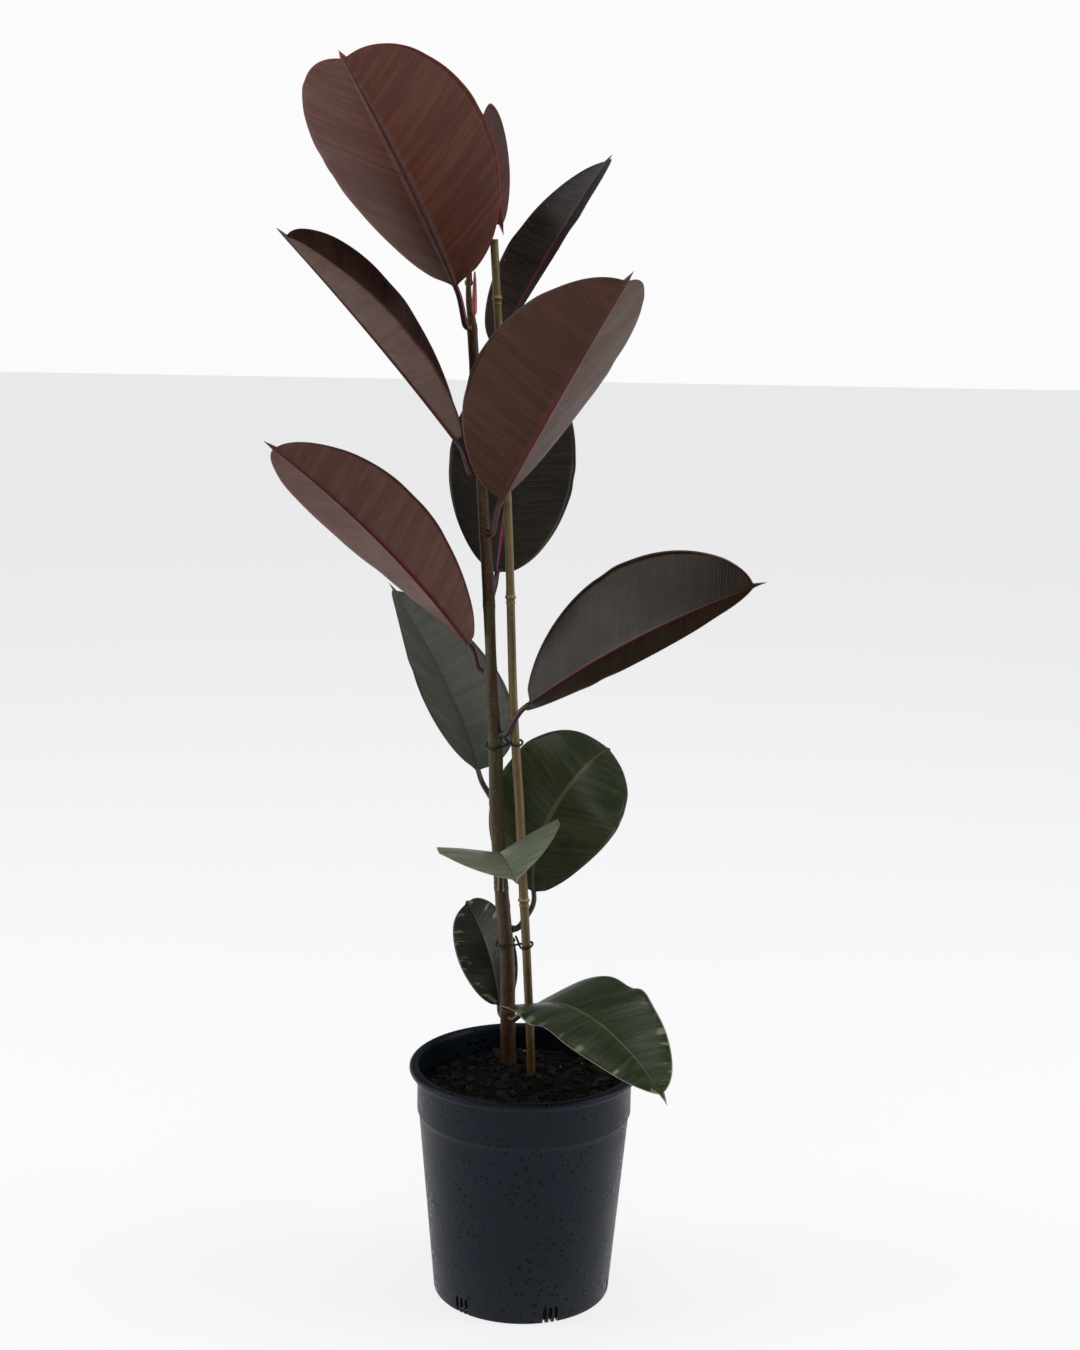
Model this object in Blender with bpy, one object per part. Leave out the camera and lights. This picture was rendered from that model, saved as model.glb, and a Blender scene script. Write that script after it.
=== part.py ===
"""A young rubber plant (Ficus elastica) in its black nursery pot, tied to a bamboo cane.

Metres, +Z up. The origin is the centre of the pot's flat base, the front of the plant is -Y,
and +X is to its right. Leaves are numbered from the top of the plant downwards.
"""

import math
from collections import namedtuple

import bmesh
import bpy
from mathutils import Vector

for old in list(bpy.data.objects):
    bpy.data.objects.remove(old, do_unlink=True)

# ---------------------------------------------------------------- driving dimensions

GAP = 0.0003                     # left between pieces that touch

POT_HEIGHT = 0.2074
RIM_RADIUS = 0.1000              # outside of the rolled rim
COLLAR_RADIUS = 0.0929           # just under the rim
STEP_HEIGHT = 0.1658             # where the collar steps in to the tapered wall
STEP_DEPTH = 0.0014
BASE_RADIUS = 0.0771
BASE_ROUNDING = 0.0026
WALL = 0.0015
FLOOR = 0.0020
ROUND_STEPS = 56                 # sides of the pot and the soil

SLOT_GROUPS = 6                  # groups of drain slots round the foot
SLOTS_IN_GROUP = 3
SLOT_WIDTH = 0.0030
SLOT_PITCH = 0.0052
SLOT_HEIGHT = 0.0150
SLOT_REACH = 0.0085              # how far a slot runs in under the base
FIRST_SLOT_HEADING = 229.5       # degrees, counted like the leaves' headings

SOIL_TOP = 0.1865
SOIL_MOUND = 0.0045              # how much higher the mix lies round the stem
SOIL_SIDE_CLEAR = 0.0005

STEM_SIDES = 12
CANE_SIDES = 12
HOLE_CLEAR = 0.0006              # round the stem and the cane where they enter the mix

TIE_WIRE_RADIUS = 0.0010
TIE_CLEAR = 0.0007
TIE_RISE = 0.0066                # from one end of a tie to the other

LEAF_THICKNESS = 0.0011
STALK_RADIUS = 0.0028
MIDRIB_RADIUS = 0.0017
STALK_CLEAR = 0.0008             # between the stem's side and the root of a stalk
DRIP_TIP = 0.045                 # share of the blade's length that is the narrow pointed tip
TURN_LENGTH = 0.010              # the stalk turns up from the stem within this length
FULLNESS = 0.55                  # power that rounds the blade's oval
STALK_STATIONS = (0.0, 0.12, 0.3, 0.55, 0.8, 1.0)
BLADE_STATIONS = (0.008, 0.02, 0.045, 0.08, 0.13, 0.2, 0.28, 0.37, 0.47, 0.57, 0.67, 0.76,
                  0.84, 0.9, 0.94, 0.96, 0.985)

SHEATH_FOOT = 0.846
SHEATH_LENGTH = 0.036
SHEATH_WIDTH = 0.0042
SHEATH_HEADING = -60             # degrees, the side of the stem that the sheath stands against
LOWER_TIE_HEIGHT = 0.304
UPPER_TIE_HEIGHT = 0.483
TIE_TILT = 0.50

# The stem's and the cane's centre lines, as (x, y, z, radius) from the soil upwards.
STEM_LINE = (
    (-0.0145, 0.0450, 0.1440, 0.0066),
    (-0.0150, 0.0450, 0.1894, 0.0068),
    (-0.0171, 0.0400, 0.2841, 0.0064),
    (-0.0233, 0.0360, 0.3573, 0.0062),
    (-0.0280, 0.0330, 0.4254, 0.0061),
    (-0.0295, 0.0320, 0.4788, 0.0060),
    (-0.0326, 0.0310, 0.5211, 0.0054),
    (-0.0347, 0.0300, 0.5630, 0.0048),
    (-0.0378, 0.0300, 0.6222, 0.0052),
    (-0.0429, 0.0300, 0.6918, 0.0046),
    (-0.0528, 0.0300, 0.8229, 0.0043),
    (-0.0540, 0.0300, 0.8400, 0.0036),
    (-0.0566, 0.0300, 0.8580, 0.0026),
    (-0.0572, 0.0300, 0.8790, 0.0019),
)
CANE_LINE = (
    (0.0060, 0.0170, 0.0700, 0.0036),
    (0.0057, 0.0200, 0.1883, 0.0037),
    (0.0005, 0.0220, 0.2904, 0.0038),
    (-0.0041, 0.0240, 0.3612, 0.0040),
    (-0.0080, 0.0260, 0.4276, 0.0041),
    (-0.0149, 0.0290, 0.5218, 0.0037),
    (-0.0224, 0.0315, 0.6926, 0.0035),
    (-0.0366, 0.0345, 0.9075, 0.0034),
)
CANE_NODES = (0.3459, 0.6104, 0.8598)   # heights of the cane's raised joints
CANE_NODE_SWELL = 0.0010

Leaf = namedtuple(
    "Leaf",
    "height heading stalk stalk_rise length half_width rise_base rise_tip swing roll"
    " fold curl widest",
    defaults=(0.48,),
)
# height: of the leaf's root on the stem. heading: compass angle seen from above, 0 along +X
# and 90 to the back. stalk, length, half_width: metres. The angles are degrees: stalk_rise,
# rise_base and rise_tip above the horizontal; swing sideways from base to tip; roll about the
# midrib; fold of each half up from the midrib, and curl more by its margin. widest: where
# along the blade it is broadest.
LEAVES = (
    Leaf(0.836, 240, 0.042, 69, 0.270, 0.080, 51, 26, 16, 21, 31, 5, 0.44),
    Leaf(0.872, 89, 0.012, 88, 0.228, 0.057, 95, -72, -15, -56, 26, 1, 0.48),
    Leaf(0.799, 45, 0.031, 55, 0.219, 0.052, 55, 41, 8, -17, 19, -4, 0.49),
    Leaf(0.715, 215, 0.037, 70, 0.239, 0.062, 48, 42, 3, -31, 30, 4, 0.52),
    Leaf(0.665, 305, 0.038, 74, 0.268, 0.073, 49, 41, -7, -4, 29, 4, 0.49),
    Leaf(0.607, 81, 0.038, 27, 0.229, 0.057, 56, 56, -7, 26, 8, -13, 0.49),
    Leaf(0.546, 170, 0.028, 78, 0.247, 0.063, 52, 37, 35, 38, 17, -6, 0.50),
    Leaf(0.430, 108, 0.054, 12, 0.224, 0.057, 37, 44, 29, 15, 21, -3, 0.45),
    Leaf(0.492, 326, 0.042, 59, 0.247, 0.068, 37, 23, 11, 44, 25, 1, 0.50),
    Leaf(0.3145, 14, 0.041, 57, 0.186, 0.057, 97, -11, 60, 39, 6, -12, 0.47),
    Leaf(0.354, 269, 0.058, 56, 0.195, 0.053, 25, -5, 12, 13, 21, -2, 0.59),
    Leaf(0.231, 123, 0.012, 88, 0.114, 0.029, 79, 10, -12, -38, 22, -2, 0.47),
    Leaf(0.234, 296, 0.030, 34, 0.222, 0.053, 36, -46, 19, 7, 14, -9, 0.47),
)

# ---------------------------------------------------------------- materials

def material(name, colour, roughness):
    """A Principled material of one linear RGB colour."""
    made = bpy.data.materials.new(name)
    made.use_nodes = True
    shader = made.node_tree.nodes["Principled BSDF"]
    shader.inputs["Base Color"].default_value = (*colour, 1.0)
    shader.inputs["Roughness"].default_value = roughness
    return made


POT_PLASTIC = material("black_moulded_plastic", (0.012, 0.014, 0.018), 0.38)
POTTING_MIX = material("moist_potting_mix", (0.010, 0.008, 0.006), 0.95)
STEM_BARK = material("green_brown_stem_bark", (0.060, 0.042, 0.026), 0.55)
SHEATH_SKIN = material("pink_bud_sheath", (0.350, 0.060, 0.080), 0.45)
DRY_BAMBOO = material("dry_bamboo", (0.250, 0.190, 0.090), 0.50)
TIE_COATING = material("dark_green_wire_coating", (0.012, 0.020, 0.014), 0.45)
LEAF_BURGUNDY = material("burgundy_leaf", (0.090, 0.032, 0.027), 0.40)
LEAF_DARK = material("dark_green_brown_leaf", (0.032, 0.028, 0.024), 0.32)
LEAF_GREEN = material("green_leaf", (0.036, 0.055, 0.032), 0.34)
YOUNG_LEAVES = (1, 4, 5, 7)
OLD_LEAVES = (8, 10, 11, 12, 13)


# ---------------------------------------------------------------- solids from rings

def solid(name, rings, skin, first_pole=None, last_pole=None):
    """A closed body lofted through rings of points, its ends filled flat or drawn to a pole."""
    mesh = bmesh.new()
    rows = [[mesh.verts.new(point) for point in ring] for ring in rings]
    count = len(rows[0])
    for low, high in zip(rows, rows[1:]):
        for i in range(count):
            j = (i + 1) % count
            mesh.faces.new((low[i], low[j], high[j], high[i]))
    for row, pole, outward in ((rows[0], first_pole, -1), (rows[-1], last_pole, 1)):
        if pole is None:
            mesh.faces.new(row[::outward])
            continue
        centre = mesh.verts.new(pole)
        for i in range(count):
            mesh.faces.new((row[i], row[(i + 1) % count], centre)[::outward])
    bmesh.ops.recalc_face_normals(mesh, faces=mesh.faces)
    data = bpy.data.meshes.new(name)
    mesh.to_mesh(data)
    mesh.free()
    data.shade_smooth()
    data.set_sharp_from_angle(angle=math.radians(40))
    data.materials.append(skin)
    made = bpy.data.objects.new(name, data)
    bpy.context.scene.collection.objects.link(made)
    return made


def circle(centre, radius, steps):
    """The points of a level circle, counted from +X towards +Y."""
    turns = [math.tau * i / steps for i in range(steps)]
    return [centre + radius * Vector((math.cos(a), math.sin(a), 0)) for a in turns]


def turned(name, profile, skin):
    """A body turned about Z from a profile of (radius, height) that starts and ends on Z."""
    rings = [circle(Vector((0, 0, z)), r, ROUND_STEPS) for r, z in profile[1:-1]]
    first, last = (Vector((0, 0, profile[i][1])) for i in (0, -1))
    return solid(name, rings, skin, first, last)


def cut(body, cutter):
    """Takes the cutter's shape out of the body."""
    cutter.hide_render = True
    cutter.display_type = "WIRE"
    step = body.modifiers.new("cut_" + cutter.name, "BOOLEAN")
    step.operation = "DIFFERENCE"
    step.solver = "EXACT"
    step.object = cutter


def smooth_line(points, count):
    """Evenly spread points of a Catmull-Rom curve through the given ones, of any dimension."""
    ends = [points[0], *points, points[-1]]
    found = []
    for i in range(count):
        place = (len(points) - 1) * i / (count - 1)
        k = min(int(place), len(points) - 2)
        t = place - k
        a, b, c, d = ends[k : k + 4]
        found.append(tuple(
            0.5 * (2 * q + (r - p) * t + (2 * p - 5 * q + 4 * r - s) * t**2
                   + (3 * q - p - 3 * r + s) * t**3)
            for p, q, r, s in zip(a, b, c, d)
        ))
    return found


def at_height(line, height):
    """The centre and the radius of a line of (x, y, z, radius) at a height."""
    for low, high in zip(line, line[1:]):
        if height <= high[2]:
            break
    share = (height - low[2]) / (high[2] - low[2])
    x, y, z, radius = (a + share * (b - a) for a, b in zip(low, high))
    return Vector((x, y, z)), radius


def direction(heading, rise):
    """The unit vector at a heading and a rise above the horizontal, both in radians."""
    flat = math.cos(rise)
    return Vector((flat * math.cos(heading), flat * math.sin(heading), math.sin(rise)))


def ease(t):
    """0 to 1 with flat ends."""
    t = min(max(t, 0.0), 1.0)
    return t * t * (3 - 2 * t)


# ---------------------------------------------------------------- pot

def pot_profile():
    """The outer side from the base's centre up to the rim, then down the inner side."""
    lip = 0.0039
    lip_centre = RIM_RADIUS - lip
    arc = [math.radians(a) for a in (-75, -40, 0, 40, 75)]
    corner = [math.radians(a) for a in (-90, -45, 0)]
    outer = [(0.0, 0.0)]
    outer += [
        (BASE_RADIUS - BASE_ROUNDING * (1 - math.cos(a)), BASE_ROUNDING * (1 + math.sin(a)))
        for a in corner
    ]
    outer += [
        (COLLAR_RADIUS - STEP_DEPTH, STEP_HEIGHT - 0.0004),
        (COLLAR_RADIUS - 0.0002, STEP_HEIGHT + 0.0004),
        (COLLAR_RADIUS, POT_HEIGHT - 2 * lip - 0.0008),
    ]
    outer += [
        (lip_centre + lip * math.cos(a), POT_HEIGHT - lip + lip * math.sin(a)) for a in arc
    ]
    inner = [
        (lip_centre - 0.0026, POT_HEIGHT - 0.0003),
        (COLLAR_RADIUS - WALL + 0.0002, POT_HEIGHT - 0.0026),
        (COLLAR_RADIUS - WALL, POT_HEIGHT - 2 * lip),
        (COLLAR_RADIUS - WALL, STEP_HEIGHT + 0.0014),
        (COLLAR_RADIUS - STEP_DEPTH - WALL, STEP_HEIGHT),
        (BASE_RADIUS - WALL, BASE_ROUNDING + 0.0008),
        (BASE_RADIUS - WALL - 0.0014, FLOOR),
        (0.0, FLOOR),
    ]
    return outer + inner


def slot_cutter():
    """Every drain slot as an upright box through the foot of the wall and the edge of the base."""
    boxes = bmesh.new()
    middle = (SLOTS_IN_GROUP - 1) / 2
    for group in range(SLOT_GROUPS):
        heading = math.radians(FIRST_SLOT_HEADING + 360 * group / SLOT_GROUPS)
        out = Vector((math.cos(heading), math.sin(heading), 0))
        side = Vector((-out.y, out.x, 0))
        for number in range(SLOTS_IN_GROUP):
            offset = side * (number - middle) * SLOT_PITCH
            corners = []
            for reach in (BASE_RADIUS - SLOT_REACH, BASE_RADIUS + 0.006):
                for across in (-SLOT_WIDTH / 2, SLOT_WIDTH / 2):
                    for height in (-0.004, SLOT_HEIGHT):
                        place = out * reach + offset + side * across
                        corners.append(boxes.verts.new(place + Vector((0, 0, height))))
            bmesh.ops.convex_hull(boxes, input=corners)
    bmesh.ops.recalc_face_normals(boxes, faces=boxes.faces)
    data = bpy.data.meshes.new("drain_slots")
    boxes.to_mesh(data)
    boxes.free()
    cutter = bpy.data.objects.new("drain_slots", data)
    bpy.context.scene.collection.objects.link(cutter)
    return cutter


pot = turned("pot", pot_profile(), POT_PLASTIC)
cut(pot, slot_cutter())


# ---------------------------------------------------------------- stem, cane and soil

def cane_swell(z):
    """The raised ring at each joint of the cane."""
    nearest = min(abs(z - node) for node in CANE_NODES)
    return CANE_NODE_SWELL * math.exp(-((nearest / 0.004) ** 2))


def joint_heights(line, between):
    """The line's own points, with extra ones close round each joint of the cane."""
    heights = {z for _, _, z, _ in smooth_line(line, between)}
    heights |= {node + step for node in CANE_NODES for step in (-0.007, -0.003, 0, 0.003, 0.007)}
    fine = smooth_line(line, 400)
    found = []
    for height in sorted(heights):
        centre, radius = at_height(fine, min(max(height, fine[0][2]), fine[-1][2]))
        found.append((*centre, radius))
    return found


solid(
    "stem",
    [circle(Vector((x, y, z)), r, STEM_SIDES) for x, y, z, r in smooth_line(STEM_LINE, 30)],
    STEM_BARK,
)
solid(
    "bamboo_stake",
    [
        circle(Vector((x, y, z)), r + cane_swell(z), CANE_SIDES)
        for x, y, z, r in joint_heights(CANE_LINE, 16)
    ],
    DRY_BAMBOO,
)

inner_base = BASE_RADIUS - WALL - SOIL_SIDE_CLEAR
inner_step = COLLAR_RADIUS - STEP_DEPTH - WALL - SOIL_SIDE_CLEAR
inner_collar = COLLAR_RADIUS - WALL - SOIL_SIDE_CLEAR
soil = turned(
    "soil",
    [
        (0.0, FLOOR + GAP),
        (inner_base - 0.0030, FLOOR + GAP),
        (inner_base, BASE_ROUNDING + 0.0020),
        (inner_step, STEP_HEIGHT),
        (inner_collar, STEP_HEIGHT + 0.0030),
        (inner_collar, SOIL_TOP - 0.0020),
        (inner_collar - 0.0030, SOIL_TOP),
        (0.055, SOIL_TOP + 0.35 * SOIL_MOUND),
        (0.025, SOIL_TOP + 0.90 * SOIL_MOUND),
        (0.0, SOIL_TOP + SOIL_MOUND),
    ],
    POTTING_MIX,
)


def planting_hole(name, line, sides):
    """The line's lower part made fatter, from just under its foot to above the soil."""
    top = SOIL_TOP + 0.02
    fine = smooth_line(line, 400)
    foot = fine[0]
    below = (foot[0], foot[1], foot[2] - HOLE_CLEAR, foot[3])
    heights = [foot[2] + (top - foot[2]) * i / 5 for i in range(1, 6)]
    points = [below] + [(*at_height(fine, h)[0], at_height(fine, h)[1]) for h in heights]
    rings = [circle(Vector((x, y, z)), r + HOLE_CLEAR, sides) for x, y, z, r in points]
    return solid(name, rings, POTTING_MIX)


cut(soil, planting_hole("stem_hole", STEM_LINE, STEM_SIDES))
cut(soil, planting_hole("cane_hole", CANE_LINE, CANE_SIDES))


# ---------------------------------------------------------------- bud sheath

def bud_sheath():
    """The long pointed sheath that stands in front of the stem's tip, to its right."""
    foot, stem_radius = at_height(STEM_LINE, SHEATH_FOOT)
    half = SHEATH_WIDTH / 2
    aside = direction(math.radians(SHEATH_HEADING), 0) * (stem_radius + STALK_CLEAR + half)
    x, y = foot.x + aside.x, foot.y + aside.y
    rings = []
    for share in (0.0, 0.08, 0.3, 0.55, 0.75, 0.9, 0.97):
        radius = half * math.sqrt(max(1 - share**2, 0.02)) * min(1.0, 0.6 + 5 * share)
        height = SHEATH_FOOT + SHEATH_LENGTH * share
        rings.append(circle(Vector((x, y, height)), radius, 12))
    tip = Vector((x, y, SHEATH_FOOT + SHEATH_LENGTH))
    return solid("bud_sheath", rings, SHEATH_SKIN, last_pole=tip)


bud_sheath()


# ---------------------------------------------------------------- ties

def tie(name, height, tilt):
    """A wire in a figure of eight: round the stem, across, round the cane, and back."""
    at_stem, stem_radius = at_height(STEM_LINE, height)
    at_cane, cane_radius = at_height(CANE_LINE, height)
    towards = (at_cane - at_stem).normalized()
    aside = Vector((0, 0, 1)).cross(towards)
    turns = [math.radians(50 + 260 * i / 12) for i in range(13)]
    loops = []
    for centre, radius, sign in ((at_stem, stem_radius, 1), (at_cane, cane_radius, -1)):
        reach = radius + TIE_WIRE_RADIUS + TIE_CLEAR
        loops += [
            centre + reach * (sign * math.cos(a) * towards + math.sin(a) * aside) for a in turns
        ]
    last = loops[-1] + 0.75 * (loops[0] - loops[-1])
    route = loops + [last]
    for number, point in enumerate(route):
        lean = tilt * (point - at_stem).dot(aside)
        point.z = height + TIE_RISE * (number / (len(route) - 1) - 0.5) + lean
    data = bpy.data.curves.new(name, "CURVE")
    data.dimensions = "3D"
    data.bevel_depth = TIE_WIRE_RADIUS
    data.bevel_resolution = 2
    data.use_fill_caps = True
    line = data.splines.new("POLY")
    smooth = smooth_line([tuple(point) for point in route], 54)
    line.points.add(len(smooth) - 1)
    for place, point in zip(line.points, smooth):
        place.co = (*point, 1)
    data.materials.append(TIE_COATING)
    made = bpy.data.objects.new(name, data)
    bpy.context.scene.collection.objects.link(made)


tie("tie_lower", LOWER_TIE_HEIGHT, TIE_TILT)
tie("tie_upper", UPPER_TIE_HEIGHT, TIE_TILT)


# ---------------------------------------------------------------- leaves

def midline(leaf):
    """Points, directions and headings along the stalk and then along the blade."""
    heading = math.radians(leaf.heading)
    root, stem_radius = at_height(STEM_LINE, leaf.height)
    place = root + direction(heading, 0) * (stem_radius + STALK_CLEAR)
    rise_root, rise_base, rise_tip = (
        math.radians(a) for a in (leaf.stalk_rise, leaf.rise_base, leaf.rise_tip)
    )
    steps = 200
    found = []
    for part, length in (("stalk", leaf.stalk), ("blade", leaf.length)):
        for i in range(steps + 1):
            share = i / steps
            if part == "stalk":
                rise = rise_root * ease(share * length / TURN_LENGTH)
                rise += (rise_base - rise_root) * ease((share - 0.5) / 0.5)
                turned_by = 0.0
            else:
                rise = rise_base + (rise_tip - rise_base) * share
                turned_by = math.radians(leaf.swing) * share
            along = direction(heading + turned_by, rise)
            found.append((place.copy(), along, heading + turned_by))
            if i < steps:
                place = place + along * (length / steps)
    return found[: steps + 1], found[steps + 1 :]


def half_width(leaf, share):
    """Half the blade's width at a share of its length: an oval, then a narrow pointed tip."""
    oval = min(share / (1 - DRIP_TIP), 1.0)
    power = math.log(0.5) / math.log(leaf.widest)
    body = leaf.half_width * max(math.sin(math.pi * oval**power), 0.0) ** FULLNESS
    tip = 0.0030 * (1 - share) / DRIP_TIP
    return max(body, min(tip, 0.0030), 0.0004)


def blade_ring(leaf, share, place, along, heading):
    """One cross-section of the blade: both halves, their thickness and the midrib beneath."""
    level_side = Vector((-math.sin(heading), math.cos(heading), 0))
    level_up = along.cross(level_side)
    roll = math.radians(leaf.roll)
    side = math.cos(roll) * level_side + math.sin(roll) * level_up
    up = -math.sin(roll) * level_side + math.cos(roll) * level_up
    width = half_width(leaf, share)
    half_thick = LEAF_THICKNESS / 2 * min(1.0, width / 0.003)
    midrib = MIDRIB_RADIUS * (1 - 0.75 * share)
    midrib = min(midrib, width)
    top, bottom = [], []
    for part in (-1.0, -0.6, -0.07, 0.0, 0.07, 0.6, 1.0):
        reach = abs(part)
        lean = math.radians(leaf.fold + leaf.curl * reach / 2)
        out = width * reach * math.cos(lean) * math.copysign(1, part)
        lift = width * reach * math.sin(lean)
        centre = place + side * out + up * lift
        if reach == 1.0:
            top.append(centre)
            continue
        top.append(centre + up * half_thick)
        bottom.append(centre - up * (half_thick if part else half_thick + midrib))
    return top + bottom[::-1]


def stalk_ring(place, along, heading, radius):
    """A round cross-section whose points run in step with those of the blade's."""
    side = Vector((-math.sin(heading), math.cos(heading), 0))
    up = along.cross(side)
    angles = [math.radians(180 - 30 * i) for i in range(12)]
    return [place + radius * (math.cos(a) * side + math.sin(a) * up) for a in angles]


def leaf_solid(name, leaf, skin):
    """Stalk and blade as one closed body, from the root at the stem to the pointed tip."""
    stalk, blade = midline(leaf)
    last = len(stalk) - 1
    rings = []
    for share in STALK_STATIONS:
        place, along, heading = stalk[round(share * last)]
        rings.append(stalk_ring(place, along, heading, STALK_RADIUS * (1 - 0.2 * share)))
    for share in BLADE_STATIONS:
        place, along, heading = blade[round(share * last)]
        rings.append(blade_ring(leaf, share, place, along, heading))
    return solid(name, rings, skin, last_pole=blade[-1][0])


for number, leaf in enumerate(LEAVES, 1):
    skin = LEAF_DARK
    if number in YOUNG_LEAVES:
        skin = LEAF_BURGUNDY
    elif number in OLD_LEAVES:
        skin = LEAF_GREEN
    leaf_solid(f"leaf_{number:02d}", leaf, skin)
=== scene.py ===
import math
from collections import namedtuple

import bmesh
import bpy
import numpy as np
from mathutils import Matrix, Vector


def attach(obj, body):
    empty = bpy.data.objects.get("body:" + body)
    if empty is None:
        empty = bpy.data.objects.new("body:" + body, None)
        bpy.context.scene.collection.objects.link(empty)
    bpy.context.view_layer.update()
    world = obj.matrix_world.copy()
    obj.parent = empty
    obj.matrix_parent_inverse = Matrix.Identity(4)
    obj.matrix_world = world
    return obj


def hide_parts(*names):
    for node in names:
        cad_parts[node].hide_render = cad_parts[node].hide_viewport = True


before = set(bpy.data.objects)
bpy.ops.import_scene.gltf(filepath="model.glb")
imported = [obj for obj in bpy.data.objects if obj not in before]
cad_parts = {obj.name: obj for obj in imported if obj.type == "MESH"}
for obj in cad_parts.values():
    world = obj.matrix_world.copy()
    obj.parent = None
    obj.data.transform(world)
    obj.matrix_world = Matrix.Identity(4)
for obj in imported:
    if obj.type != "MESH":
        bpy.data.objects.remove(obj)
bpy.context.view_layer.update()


# ================================================================ studio
# A plain pale floor under soft light: one tall lamp at each side, set a little behind the
# plant so that the pot's edges and the waxy leaves catch them, one above and a weak one in front.

IMAGE_HEIGHT = 1350
FOCAL = 2178 / IMAGE_HEIGHT          # in heights of the image
EYE = Vector((0.0075, -1.794, 0.896))
EYE_DOWN = math.radians(10.93)
EYE_ROLL = math.radians(1.0)
SENSOR = 36.0


def linear(hex_colour, alpha=1.0):
    """A #rrggbb sRGB colour as linear RGBA."""
    values = [int(hex_colour[i : i + 2], 16) / 255 for i in (1, 3, 5)]
    rgb = [v / 12.92 if v <= 0.04045 else ((v + 0.055) / 1.055) ** 2.4 for v in values]
    return (*rgb, alpha)


def add(tree, kind, links=None, inputs=None, **settings):
    """Adds a shader or geometry node with its settings, its input values and its links."""
    node = tree.nodes.new(kind)
    for name, value in settings.items():
        setattr(node, name, value)
    for key, value in (inputs or {}).items():
        node.inputs[key].default_value = value
    for key, source in (links or {}).items():
        tree.links.new(source, node.inputs[key])
    return node


def new_material(name):
    """A material with an empty tree, its Principled shader and its output."""
    made = bpy.data.materials.new(name)
    made.use_nodes = True
    return made, made.node_tree, made.node_tree.nodes["Principled BSDF"]


def object_place(tree):
    """Where a point is on the object, in metres."""
    return add(tree, "ShaderNodeTexCoord").outputs["Object"]


def noise(tree, vector, scale, detail=2.0, **more):
    """A noise pattern as one number; scale is in waves a metre."""
    inputs = {"Scale": scale, "Detail": detail, **more}
    return add(tree, "ShaderNodeTexNoise", {"Vector": vector}, inputs).outputs["Fac"]


def cells(tree, vector, scale):
    """A cell pattern node, with its Distance and Color outputs."""
    return add(tree, "ShaderNodeTexVoronoi", {"Vector": vector}, {"Scale": scale})


def squashed(tree, vector, share):
    """A place whose height counts for only a share, so that patterns run upwards."""
    return add(tree, "ShaderNodeMapping", {"Vector": vector},
               {"Scale": (1.0, 1.0, share)}).outputs[0]


def ramp(tree, value, low, high, most=1.0, least=0.0, kind="LINEAR"):
    """The number that goes from least to most as the value goes from low to high."""
    limits = {"From Min": low, "From Max": high, "To Min": least, "To Max": most}
    return add(tree, "ShaderNodeMapRange", {"Value": value}, limits,
               interpolation_type=kind).outputs[0]


def maths(tree, operation, *parts):
    """One operation on numbers and sockets."""
    node = add(tree, "ShaderNodeMath", operation=operation)
    for socket, part in zip(node.inputs, parts):
        if isinstance(part, (int, float)):
            socket.default_value = part
        else:
            tree.links.new(part, socket)
    return node.outputs[0]


def mix(tree, share, low, high):
    """A blend of two colours, each a socket or a #rrggbb colour."""
    node = add(tree, "ShaderNodeMix", {"Factor": share}, data_type="RGBA")
    for key, colour in (("A", low), ("B", high)):
        if isinstance(colour, str):
            node.inputs[key].default_value = linear(colour)
        else:
            tree.links.new(colour, node.inputs[key])
    return node.outputs["Result"]


def feed(tree, shader, values):
    """Gives the shader's inputs their values, each a socket or a constant."""
    for key, value in values.items():
        if isinstance(value, bpy.types.NodeSocket):
            tree.links.new(value, shader.inputs[key])
        else:
            shader.inputs[key].default_value = value


def bumpy(tree, shader, height, strength, distance):
    """Relief from a height pattern; distance is in metres."""
    bump = add(tree, "ShaderNodeBump", {"Height": height},
               {"Strength": strength, "Distance": distance})
    tree.links.new(bump.outputs[0], shader.inputs["Normal"])


def show(name, mesh, materials):
    """A new object at the origin with this mesh and these materials."""
    made = bpy.data.objects.new(name, mesh)
    for material in materials:
        mesh.materials.append(material)
    bpy.context.scene.collection.objects.link(made)
    return made


eye = bpy.data.cameras.new("camera")
eye.sensor_width = SENSOR
eye.lens = FOCAL * SENSOR
camera = bpy.data.objects.new("camera", eye)
camera.location = EYE
camera.rotation_euler = (math.radians(90) - EYE_DOWN, 0, 0)
camera.rotation_euler.rotate_axis("Z", EYE_ROLL)
bpy.context.scene.collection.objects.link(camera)
bpy.context.scene.camera = camera
bpy.context.scene.view_settings.view_transform = "Standard"

world = bpy.data.worlds.new("studio")
world.use_nodes = True
bpy.context.scene.world = world
sky = world.node_tree
sky.nodes.clear()
seen = add(sky, "ShaderNodeBackground", inputs={"Color": linear("#fbfbfb"), "Strength": 1.0})
fill = add(sky, "ShaderNodeBackground", inputs={"Color": linear("#f4f6ff"), "Strength": 0.16})
ray = add(sky, "ShaderNodeLightPath")
pick = add(sky, "ShaderNodeMixShader",
           {0: ray.outputs["Is Camera Ray"], 1: fill.outputs[0], 2: seen.outputs[0]})
add(sky, "ShaderNodeOutputWorld", {0: pick.outputs[0]})

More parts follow.
